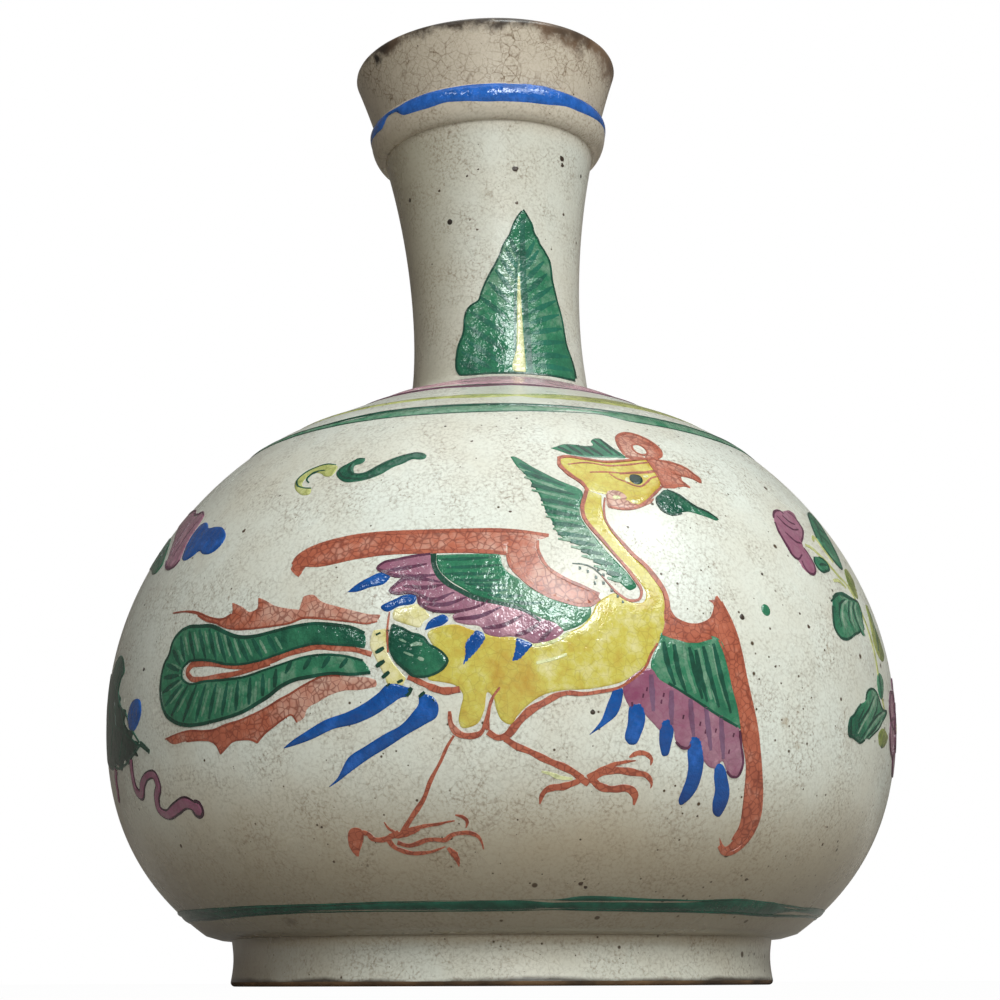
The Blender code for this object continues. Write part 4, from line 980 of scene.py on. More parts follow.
EMBLEM = [
    (-64.6, 85), (-63.9, 82.6), (-65.2, 81), (-66, 77.6), (-64.6, 75.6), (-65.4, 74), (-64, 72.8),
    (-61.9, 71.6), (-62.6, 69.4), (-61.3, 66.8), (-59, 65.6), (-59.8, 63.8), (-58, 62.8), (-56.9, 61.4),
    (-58.6, 60.6), (-58, 59), (-60, 59.4), (-62.1, 57.4), (-63.4, 58.8), (-65.6, 56.4), (-67, 58),
    (-71, 57.6), (-76, 59.4), (-81, 63), (-85, 69), (-86, 76), (-82, 83), (-77, 86), (-74.5, 83), (-72, 87),
    (-68, 88.5)]
EMBLEM_LINES = [
    [(-58, 62.2), (-64, 67), (-71, 70.4), (-78, 73), (-86, 76.4)], [(-62, 65.6), (-64.4, 72.6)],
    [(-67, 68.8), (-68, 78), (-66.6, 83.4)], [(-72, 71), (-74, 80.4)], [(-78, 73.2), (-80, 78.6)],
    [(-63, 66.2), (-66, 59.4)], [(-69, 69.6), (-72, 61)], [(-75, 72), (-78, 64)], [(-81, 74.4), (-85, 68)],
    [(-57, 61.5), (-60, 59.3), (-66, 57.3), (-70, 58.3), (-74, 60)],
    [(-57.2, 62.4), (-60, 66.9), (-61.6, 70.2), (-64.8, 73.9), (-66.4, 78.4)]]
EMBLEM_BLUE = [
    (-58.2, 74.1), (-56.6, 73), (-56.3, 70.2), (-57.5, 67), (-59.2, 65.6), (-60.7, 66.6), (-61.2, 69.6),
    (-60.2, 72.9)]
RIBBON = [
    (-60.8, 58.6), (-61.1, 53.8), (-60.8, 50.6), (-59.2, 49.1), (-58, 51.6), (-55.9, 53.5), (-53.8, 53.2),
    (-53.3, 50.6), (-54.5, 47.8), (-54.8, 44.9), (-53.2, 43.3), (-50.1, 44.4), (-47.4, 45.5), (-44.9, 43.8)]
RIBBON_WIDTHS = (1.4, 1.9, 2.6, 2.4, 2.2, 2.2, 2.3, 2.1, 2.5, 3.0, 3.0, 3.4, 2.6)
RIBBON_END = [(-69, 57.6), (-70.2, 54.6), (-70.6, 51.4), (-71.4, 49.2)]

BUD = [
    (53.7, 124), (52.7, 124.5), (51.3, 124), (50, 123.3), (48.3, 123.3), (46.8, 122), (45.5, 119.4),
    (44.9, 116), (45, 113), (45.3, 110.6), (45.9, 108.4), (46.7, 108), (47.2, 105.9), (48.2, 104.6),
    (49.4, 104.3), (50.4, 105.3), (50.9, 107.5), (50.7, 110), (50.1, 112.6), (50.6, 114.8), (52.4, 117),
    (53.2, 119), (53.3, 121.4)]
BUD_LINES = [
    [(46.6, 115.9), (48.4, 113.6), (49.8, 113.6)],
    [(45.6, 119.8), (46.3, 121.3), (47.6, 122.6), (49.3, 122.6), (49.3, 122)],
    [(46.8, 120.8), (47.8, 118.6), (49.6, 117.6), (51.4, 118.2)], [(48.6, 121.4), (49.6, 120), (51.2, 119.6)],
    [(45.3, 118.4), (45, 115.9), (45.2, 113.1), (45.5, 111.1), (45.8, 109), (46.6, 108.2), (48.4, 109.9)],
    [(47.6, 107.9), (47.7, 106), (48.4, 104.8), (49.3, 104.6), (50.2, 105.5), (50.7, 107.3), (50.6, 109.5),
     (50, 112.3)],
    [(51.3, 123.4), (52.5, 122.6), (53, 121), (53, 119), (52.2, 117.3), (50.2, 114.2)]]
STEMS = [
    [(51, 113.6), (52.7, 113.1), (54, 111.9), (55.3, 110.6), (56.5, 109), (58, 107), (60, 105.4),
     (61.6, 102)],
    [(54.7, 116), (56, 117.7), (57.2, 114.4), (58.6, 111)], [(55.3, 104.7), (57.3, 105.3), (59.3, 104)],
    [(60.7, 105.3), (62.6, 98), (64, 88), (64.6, 78), (66.4, 72)]]
BUD_LEAF = [
    (52, 110.4), (51.4, 109), (51.6, 107.2), (52.6, 106.4), (54, 107), (55.5, 108.3), (55.6, 109.6),
    (55, 110.4), (53.6, 110.9)]
UPPER_LEAF = [
    (57, 117.7), (57.7, 120), (59.3, 123.3), (61, 125.7), (63, 127.3), (65.3, 127.7), (66, 125.7),
    (64.7, 121.3), (63.7, 117.3), (62.7, 113.3), (61.3, 110), (60, 110.7), (58.7, 112.7), (57.3, 115.3)]
LOBED_LEAF = [
    (53, 99.5), (54.9, 101), (56.5, 101), (58.7, 100.8), (61.2, 101), (62.5, 100.7), (62.6, 98.6),
    (61.6, 95.4), (61.4, 92.9), (60.3, 90.7), (59.6, 92), (58.8, 91.3), (57, 90.3), (54.9, 88.6), (53.3, 88),
    (52.1, 88.3), (51.1, 90.3), (51.4, 93.8), (52, 96.6)]
OLIVE_LEAF = [(61.2, 104), (62, 108.7), (63.3, 110.7), (65, 111), (65.7, 109), (64.7, 105.3), (63.3, 102)]
GREY_LEAF = [
    (65, 92.7), (66, 96.7), (67.7, 102), (68.7, 102), (68.7, 97.3), (70.3, 92), (71, 88.7), (69.7, 86.7),
    (67.3, 86), (65.3, 88)]
LOWER_LEAVES = [
    (58.2, 73), (58.7, 75), (60, 76.3), (61.2, 76.6), (62.8, 75.8), (64, 73.6), (65, 72.2), (67.6, 72),
    (65, 68.8), (63.3, 66.6), (61.2, 64.8), (59.3, 63), (57.9, 62.4), (56.5, 61.4), (55.2, 61.9),
    (54.2, 62.4), (53.2, 62.6), (52.9, 65.6), (53.4, 67.3), (54.1, 67.9), (55.2, 69.8), (56.4, 71.5)]
SMALL_LEAF = [(63.3, 78.7), (64, 81.3), (65.3, 82), (66.7, 80.7), (66.3, 76.7), (65.3, 74.7), (64, 75.3)]
OLIVE_BUD = [(63.3, 64.7), (64.7, 66.7), (67.3, 66.7), (68.7, 65.3), (67.7, 63.3), (65.3, 61.7), (63.7, 62.7)]
BRANCH_VEINS = [
    [(57, 100), (54.3, 97.5), (53.2, 94), (53.2, 91.3)], [(58.3, 99.9), (57, 97.2), (56.3, 94.5), (56.6, 92)],
    [(60.3, 100.3), (59, 98), (58.7, 95.3), (59.3, 92.8), (60.1, 91)], [(52, 98), (55.5, 101.1), (61, 101.1)],
    [(58.4, 117), (60.8, 121.4), (64.4, 126.6)], [(59.4, 119), (59.4, 122.4)], [(61.6, 122.4), (61.6, 125.6)],
    [(60, 119.6), (62.4, 117.4)], [(61.8, 122.6), (64, 121)],
    [(54.6, 63.6), (56.4, 67), (59.2, 71), (61.4, 75)], [(56.6, 62.6), (59, 66), (62, 69.4), (65.4, 71.6)],
    [(58.4, 63.2), (61.4, 66), (64, 69)], [(55.4, 66.6), (57.4, 70.4)],
    [(60.4, 68.4), (62.4, 72), (62.8, 75)], [(52.4, 108.2), (53.6, 108.8), (55.2, 109)],
    [(66.4, 88.4), (68, 93), (68.4, 100.6)], [(64.3, 81.4), (65, 75.6)]]

LEAF = [
    (19.5, 224.5), (19.5, 224.5), (21, 223.5), (23, 222), (25, 220.5), (27, 217.5), (29.5, 216), (31, 214.5),
    (34, 213), (36, 211.8), (38.5, 210.2), (40, 207.5), (41, 204), (43, 201), (45, 198), (47.5, 195),
    (49.5, 191.5), (50.5, 188), (51.5, 185), (53.5, 182.5), (56, 180), (57.5, 177.5), (58, 175.5),
    (58, 175.5), (56, 174.6), (50, 174.3), (40, 174.1), (30, 173.9), (20, 173.7), (10, 173.6), (0, 173.5),
    (-10, 173.4), (-20, 173.5), (-25, 173.9), (-25, 173.9), (-27.5, 175.5), (-28.5, 178), (-28, 181),
    (-27, 183.5), (-25, 185.5), (-23.5, 187), (-22.5, 189.5), (-22, 192), (-20, 194.5), (-16.5, 195.8),
    (-12, 196.8), (-10, 199), (-7.5, 201.5), (-4, 204.5), (0, 207.5), (3, 210), (6.5, 214), (10, 216.5),
    (13, 220), (16, 222.5), (18.5, 224)]
LEAF_RIB = [
    (10.8, 173.9), (16.8, 173.9), (16.8, 173.9), (16.8, 183), (16.8, 190), (16.6, 197), (16.4, 203),
    (16.2, 208), (16.4, 208), (15.5, 207), (14.5, 203), (13.5, 197), (12.5, 190), (11.5, 183), (10.5, 173.9)]
LEAF_VEINS_RIGHT = [
    ((20.5, 209.6), (27, 215)), ((20.5, 206.5), (30, 212.6)), ((21, 203.2), (34, 209.4)),
    ((21.5, 199.5), (36.5, 205.8)), ((22, 196), (41, 202.2)), ((22, 192.7), (43.6, 198)),
    ((22, 189.5), (46, 193.8)), ((22, 186.3), (48, 189.6)), ((22, 183), (49.6, 185.4)),
    ((21.5, 179.5), (52, 181)), ((22, 176.4), (54, 177.2))]
LEAF_VEINS_LEFT = [
    ((15, 210), (10.5, 215.6)), ((14, 206.4), (7.4, 212.6)), ((12.6, 203), (4, 209.4)),
    ((10.6, 199.4), (0, 206)), ((8.6, 195.6), (-5, 202.4)), ((6, 191), (-11, 198)),
    ((4, 186), (-17.4, 193.6)), ((3, 181), (-20.4, 189.4)), ((2, 176.4), (-22.4, 185.4)),
    ((-5, 175), (-25, 181.6)), ((-13, 174.6), (-26.4, 178.4))]

# Iron specks that stand out, by size in mm
SPECKS = [
    (14.6, 236.5, 1.9), (45.6, 242.2, 1.7), (46.6, 240.4, 1.2), (-28.2, 222.4, 1.6), (15.4, 226.4, 0.9),
    (-14.2, 235, 0.7), (-7.2, 236.6, 0.6), (-10.4, 218.6, 0.7), (51, 225.8, 0.9), (67.6, 240.4, 1.1),
    (-59.6, 233.6, 1.2), (-33, 232.4, 0.8), (-14.6, 221.8, 0.5), (56.4, 254.4, 1.0), (66.4, 252.2, 0.9),
    (0.2, 252.6, 0.8), (32.4, 89.1, 1.4), (-39.8, 114.9, 1.0), (37.3, 77.3, 0.7), (38.2, 73.2, 0.6),
    (43.3, 92.3, 0.7), (44.7, 89.2, 1.0), (11.2, 63.4, 1.1), (37.6, 101.6, 0.8), (-4.6, 136.2, 0.6),
    (1.4, 114, 0.7), (-9.8, 142, 0.6), (-35.6, 124.2, 0.5), (8.4, 76.7, 0.7), (-52.6, 35.4, 0.9),
    (-24.4, 37.6, 0.6), (11.6, 24, 1.0), (12.4, 23.2, 0.8), (-56.2, 81.4, 1.1), (53, 35.2, 0.7),
    (26.6, 40, 0.5), (-24, 29.6, 0.6), (3.2, 144.6, 0.5)]

# The neck leaf: marks of tone, and strokes with their places, widths and tone
LEAF_TONES = [
    (-20, 180, 0.5), (0, 190, 0.2), (5, 200, -0.5), (30, 190, 0.0), (45, 182, 0.3), (19, 218, 0.5),
    (8, 212, -0.6), (28, 204, -0.2)]
LEAF_STROKES = ([(vein, (1.0, 2.0, 1.6, 0.6), -0.75) for vein in LEAF_VEINS_RIGHT]
                + [(vein, (0.8, 1.8, 1.6, 0.6), -0.6) for vein in LEAF_VEINS_LEFT]
                + [([(19.3, 174), (19.3, 186), (18.9, 200), (18.6, 212), (19, 222)],
                    (2.2, 2.0, 2.2, 1.6), -0.5),
                   ([(9.6, 175), (11.6, 190), (13.4, 203), (15.6, 212)], (0.7, 0.9, 0.7), -0.4),
                   (LEAF[1:23], (0.5, 0.8, 0.7, 0.9), 0.0), (LEAF[24:], (0.7, 0.8, 0.7, 0.5), 0.0)])

# The middles of the berry at the left and of the branch's open flower, and dark spots on the branch
BERRY, FLOWER = (-45.2, 43.7), (79.0, 70.0)
BRANCH_SPOTS = [
    ([(53.4, 67.2), (53.2, 65), (53.5, 62.6)], (1.2, 2.2, 1.6), 0.4),
    ([(55.6, 66.4), (56, 65.2)], (1.8, 1.4), 0.2), ([(65, 62.4), (65.3, 62)], (1.0, 1.0), 0.2)]

# Bands round the pot: azimuth, lower edge and upper edge
FOOT_BAND = [
    (-180, 18.0, 20.2), (-120, 17.8, 20.2), (-80, 17.3, 19.4), (-60, 17.6, 19.3), (-45, 18.0, 19.4),
    (-30, 18.4, 19.4), (-14, 18.1, 20.0), (0, 17.9, 20.3), (5, 18.0, 20.1), (6.5, 18.4, 19.6),
    (11, 18.2, 19.8), (16, 17.9, 19.8), (30, 17.9, 20.0), (40, 17.9, 21.2), (51, 17.6, 20.8),
    (54, 18.2, 19.6), (58, 18.8, 19.3), (75, 18.2, 19.8), (120, 18.0, 20.3)]
FOOT_LINE = [
    (-180, 20.0, 20.6), (-75, 19.2, 20.3), (-50, 19.2, 20.1), (-30, 19.4, 20.0), (-18, 19.8, 20.2),
    (-8, 20.2, 20.3), (9, 20.2, 20.3), (11, 20.0, 21.2), (16, 20.0, 21.2), (20, 20.2, 20.9), (32, 20.2, 20.6),
    (40, 20.9, 21.3), (60, 19.4, 19.9), (120, 20.1, 20.6)]
FOOT_LINE_LOW = [
    (-180, 17.8, 18.2), (-60, 17.2, 17.7), (-34, 17.9, 18.3), (-10, 17.7, 18.0), (5, 17.8, 18.0),
    (9, 18.0, 18.2), (13, 17.7, 18.3), (40, 17.5, 18.1), (52, 17.2, 17.9), (75, 17.6, 18.2)]
SHOULDER_BAND = [
    (-180, 147.0, 150.2), (-110, 147.4, 149.4), (-60, 147.7, 148.7), (-32, 147.6, 149.0), (-26, 147.3, 150.2),
    (0, 147.6, 150.4), (8, 147.9, 150.0), (14, 148.6, 149.6), (21, 148.4, 149.4), (25, 146.6, 150.1),
    (34, 146.1, 149.8), (45, 146.4, 149.4), (60, 146.8, 149.0), (120, 147.0, 150.0)]
SHOULDER_LINE = [
    (-180, 150.0, 150.7), (-100, 148.8, 149.3), (-40, 148.8, 149.3), (-26, 150.0, 150.8), (0, 150.3, 151.0),
    (22, 149.8, 150.4), (45, 149.0, 149.6), (80, 148.8, 149.4), (130, 149.8, 150.4)]
SHOULDER_LINE_LOW = [
    (-180, 146.8, 147.2), (-30, 147.4, 147.8), (-10, 147.1, 147.5), (10, 147.6, 148.0), (21, 148.0, 148.3),
    (26, 146.2, 146.6), (45, 146.0, 146.5), (100, 146.7, 147.1)]
COLLAR_BAND = [
    (-180, 154.0, 157.2), (-60, 154.6, 156.6), (-14, 155.0, 156.6), (-6, 154.4, 157.0), (1, 154.6, 157.0),
    (4, 155.6, 156.0), (8, 154.4, 157.4), (30, 154.0, 158.6), (80, 153.8, 158.4), (130, 154.0, 157.6)]
NECK_BAND = [
    (-180, 165.0, 172.2), (-100, 166.0, 171.6), (-30, 166.0, 169.0), (-16, 165.6, 170.6), (-8, 164.9, 171.8),
    (10, 164.8, 172.2), (40, 164.4, 172.4), (90, 164.2, 172.4)]
NECK_LINE = [
    (-180, 163.8, 164.4), (-60, 163.8, 164.2), (-16, 163.0, 164.2), (-8, 162.4, 164.6), (4, 163.6, 164.6),
    (20, 163.2, 163.8), (90, 163.4, 164.0)]
MOUTH_BAND = [
    (-180, 257.0, 262.0), (-90, 258.8, 261.8), (-74, 257.6, 261.2), (-63, 257.0, 260.9), (-60, 257.8, 260.8),
    (-57, 259.4, 260.6), (-50, 259.3, 260.4), (-47.5, 258.6, 260.4), (-46, 257.2, 260.6), (-43, 256.7, 260.9),
    (-30, 256.3, 261.3), (-20, 256.8, 261.2), (-10, 256.2, 261.3), (0, 255.6, 261.3), (15, 255.6, 261.5),
    (29, 255.8, 261.8), (40, 256.8, 261.4), (50, 256.8, 261.4), (64, 257.6, 261.5), (85, 259.0, 262.0),
    (120, 257.5, 262.0)]


def colour_setting(name, code, description):
    """A colour that the user can change, from its sRGB hex value."""
    return FloatVectorProperty(name=name, description=description, default=linear(code), size=3, min=0.0,
                               max=1.0, subtype="COLOR")


def length_setting(name, millimetres, description):
    """A length that the user can change, from its size in mm."""
    return FloatProperty(name=name, description=description, default=millimetres / 1000.0, min=0.0, max=0.05,
                         subtype="DISTANCE", unit="LENGTH", precision=5)


class VaseSizes(bpy.types.PropertyGroup):
    """Sizes of the painting and its glaze."""
    enamel: length_setting("Enamel", 0.22, "Thickness of the enamel fields")
    outline: length_setting("Outline", 0.24, "Rise of dark strokes over the enamel fields")
    red: length_setting("Iron red", 0.09, "Rise of iron-red strokes, which lie thin")
    band: length_setting("Bands", 0.36, "Thickness of the enamel bands")


class VaseColours(bpy.types.PropertyGroup):
    """Colours of the glaze and the enamels."""
    glaze: colour_setting("Glaze", "CCCEC5", "Glaze where it is clean")
    # Also the colour of the painted shade towards the heel
    glaze_warm: colour_setting("Warm glaze", "B5A58C", "Glaze where tea and dust have stained it")
    crack: colour_setting("Crazing", "6E5A45", "Stain in the crazing")
    green: colour_setting("Green", "306F51", "Copper-green enamel")
    green_deep: colour_setting("Deep green", "154636", "Green where it pools or is drawn in dark strokes")
    yellow: colour_setting("Yellow", "B8AC50", "Yellow enamel")
    pink: colour_setting("Pink", "906776", "Rose-pink enamel")
    blue: colour_setting("Blue", "0E4789", "Cobalt-blue enamel")
    iron_red: colour_setting("Iron red", "A55B44", "Iron-red wash")


def paint_mm(*names):
    """The named sizes of the painting, in mm."""
    return [getattr(bpy.context.scene.vase_sizes, name) * 1000.0 for name in names]


def finish_of(name):
    """The named finish, made the first time that a piece asks for it."""
    if name in bpy.data.materials and bpy.data.materials[name].get("vase"):
        return bpy.data.materials[name]
    colour, black, white = bpy.context.scene.vase_colours, linear("17221D"), linear("EFEBDD")
    drawn = dict(crackle=0.1, roughness=0.24, relief=0.4)
    makers = {
        "crackled_body_glaze": lambda: crackle_glaze(name, colour.glaze, colour.glaze_warm, colour.crack),
        "crackled_mouth_glaze": lambda: crackle_glaze(name, "C3B6A6", "9C8874", colour.crack, mouth=True),
        "unglazed_foot_clay": lambda: biscuit_clay(name),
        "copper_green_enamel": lambda: overglaze(name, mixed(colour.green, white, 0.25), colour.green,
                                                 colour.green_deep, 0.3),
        "green_black_outline": lambda: overglaze(name, "226450", mixed(colour.green_deep, black, 0.25), black,
                                                 **drawn),
        "antimony_yellow_enamel": lambda: overglaze(name, mixed(colour.yellow, white, 0.45), colour.yellow,
                                                    "A8812E", 0.3, 2.0, "7A6A34", mottle=0.6, relief=0.22,
                                                    crack_width=0.2),
        "rose_pink_enamel": lambda: overglaze(name, "CDA0AA", colour.pink, "7A3E58", 0.3),
        "dark_rose_outline": lambda: overglaze(name, "6E5068", "542A40", "2C1620", **drawn),
        "cobalt_blue_enamel": lambda: overglaze(name, "2F6CC8", colour.blue, "122F66", 0.2, relief=0.6),
        "iron_red_wash": lambda: overglaze(name, "C0A090", colour.iron_red, "7F3B2B", 0.8, 1.7, "6A2E22",
                                           roughness=0.32, relief=0.15, crack_width=0.36),
        "olive_enamel": lambda: overglaze(name, "C9C99A", "A3A562", "5E6B33", 0.4),
        "iron_speck": lambda: overglaze(name, "5C4735", "3F3024", "221A14", 0.1, roughness=0.4),
    }
    material = makers[name]()
    material["vase"] = True
    return material


def field(outline, thickness, *tones, **more):
    """A field for enamel_piece: its outline, its thickness in mm and its marks of tone."""
    return dict(outline=outline, thickness=thickness, tones=tones, **more)


def fields_of(outlines, thickness, *tones, **more):
    """Fields that differ only in their outlines."""
    return [field(outline, thickness, *tones, **more) for outline in outlines]


def strokes(lines, widths, rise, tone):
    """Strokes for enamel_piece that differ only in their places."""
    return [(line, widths, rise, tone) for line in lines]


def circle(middle, width, height, count=8, start=0.0):
    """Places round a middle, in degrees and mm."""
    turns = np.linspace(start, 2.0 * math.pi + start, count, endpoint=False)
    return [(middle[0] + width * math.cos(t), middle[1] + height * math.sin(t)) for t in turns]


def moved(places, azimuth, height=0.0, mirror_at=None):
    """Places or marks turned round the pot and raised, after a mirror about an azimuth where one is given."""
    if mirror_at is not None:
        places = [(2.0 * mirror_at - a, h, *rest) for a, h, *rest in places]
    return [(a + azimuth, h + height, *rest) for a, h, *rest in places]


class VASE_OT_glaze(bpy.types.Operator):
    """The glazed skins of the body, neck, mouth and coil, whose rims meet on the potter's joints."""
    bl_idname = "vase.glaze"
    bl_label = "Glazed Pot"

    def execute(self, context):
        bowl = section(FOOT_HEIGHT + HEEL_CHAMFER, BELLY_JOINT)
        floor = FOOT_HEIGHT + FLOOR
        outside = [(0.0, FOOT_HEIGHT), (FOOT_RADIUS + HEEL_STEP, FOOT_HEIGHT)]
        rim = np.argmax(bowl[:, 1] >= BELLY_JOINT - 1e-6)
        bowl = bowl[(np.arange(len(bowl)) <= rim) | (bowl[:, 1] > floor + CORNER_RISE)]
        corner = [(bowl[-1, 0] - across, floor + up) for across, up in CORNER] + [(0.0, floor)]
        turned_piece("lower_body_skin", np.vstack([outside, bowl, corner]), "crackled_body_glaze",
                     ("lower_body", "belly_seam"), closed=False)
        turned_piece("upper_body_skin", section(BELLY_JOINT, COLLAR_TOP), "crackled_body_glaze",
                     ("upper_body", "neck_seam"))
        turned_piece("neck_skin", section(COLLAR_TOP, COIL_MIDDLE), "crackled_body_glaze",
                     ("neck", "mouth_seam"))

        # The lip: half a circle from the wall's outside to its inside
        top = LIP_HEIGHT - 0.5 * LIP_WALL
        wall = section(COIL_MIDDLE, top, 0.8)
        last = np.argmax(wall[:, 1] >= top - 1e-6)
        outer, inner = wall[last], wall[last + 1]
        turn = np.linspace(0.0, math.pi, 11)[1:-1, None]
        middle, half = 0.5 * (outer + inner), 0.5 * (outer - inner)
        lip = middle + np.cos(turn) * half + np.sin(turn) * np.array([-half[1], half[0]])
        turned_piece("mouth_skin", np.vstack([wall[:last + 1], lip, wall[last + 1:]]), "crackled_mouth_glaze",
                     ("mouth",))

        height = COIL_MIDDLE + COIL_HALF * np.sin(np.linspace(-0.5 * math.pi, 0.5 * math.pi, 25))
        (out, up), lift = wall_normal(height), coil_lift(height)
        face = np.column_stack([wall_radius(height) + lift * out, height + lift * up])
        back = np.column_stack([wall_radius(height) - COIL_BACK, height])[::-6]
        turned_piece("mouth_coil_skin", np.vstack([face, back]), "crackled_body_glaze", ("mouth_coil",))
        return {"FINISHED"}


class VASE_OT_foot(bpy.types.Operator):
    """The foot ring: glazed on its slightly hollow outer wall, bare clay on the edge that it stands on."""
    bl_idname = "vase.foot"
    bl_label = "Foot"

    def execute(self, context):
        rise = np.linspace(0.0, 1.0, 9)
        wall = np.column_stack([FOOT_RADIUS - FOOT_HOLLOW * np.sin(math.pi * rise),
                                FOOT_BEVEL + (FOOT_HEIGHT - FOOT_BEVEL) * rise])
        behind = [(FOOT_RADIUS - FOOT_SKIN, FOOT_HEIGHT), (FOOT_RADIUS - FOOT_SKIN, FOOT_BEVEL)]
        turned_piece("foot_wall_glaze", np.vstack([wall, behind]), "crackled_body_glaze", ())
        turn = np.linspace(-0.5 * math.pi, 0.0, 6)
        edge = np.column_stack([FOOT_RADIUS - FOOT_BEVEL + FOOT_BEVEL * np.cos(turn),
                                FOOT_BEVEL * (1.0 + np.sin(turn))])
        inner = FOOT_RADIUS - FOOT_WIDTH
        under_glaze = [(FOOT_RADIUS - 0.4, FOOT_BEVEL + 0.5), (FOOT_RADIUS - 1.9, FOOT_HEIGHT - 0.2)]
        clay = np.vstack([[(inner + FOOT_BEVEL, 0.0)], edge, under_glaze,
                          [(inner - FOOT_TAPER, FOOT_HEIGHT), (inner, FOOT_BEVEL)]])
        turned_piece("foot_ring_clay", clay, "unglazed_foot_clay", ("foot_ring", "foot_seam"))
        return {"FINISHED"}


class VASE_OT_bands(bpy.types.Operator):
    """The bands of enamel at the foot, shoulder, collar, neck and mouth."""
    bl_idname = "vase.bands"
    bl_label = "Enamel Bands"

    def execute(self, context):
        (thick,) = paint_mm("band")
        green, dark = "copper_green_enamel", "green_black_outline"
        ring_band("foot_band_enamel", dark, FOOT_BAND, thick, nodes=("foot_band",), tone=-0.12)
        ring_band("foot_band_line", dark, FOOT_LINE, 0.42)
        ring_band("foot_line_low", dark, FOOT_LINE_LOW, 0.38)
        ring_band("shoulder_band_enamel", green, SHOULDER_BAND, thick, nodes=("shoulder_band",), tone=-0.35)
        ring_band("shoulder_band_line", dark, SHOULDER_LINE, 0.5)
        ring_band("shoulder_line_low", dark, SHOULDER_LINE_LOW, 0.4)
        ring_band("collar_band_enamel", "olive_enamel", COLLAR_BAND, 0.8 * thick, nodes=("collar_band",))
        ring_band("neck_band_enamel", "rose_pink_enamel", NECK_BAND, thick, nodes=("neck_band",), tone=-0.8)
        ring_band("neck_band_line", "dark_rose_outline", NECK_LINE, 0.4)
        ring_band("mouth_band_enamel", "cobalt_blue_enamel", MOUTH_BAND, 0.5, nodes=("mouth_band",),
                  tone=-0.45, wave=0.06, coil=True)
        return {"FINISHED"}


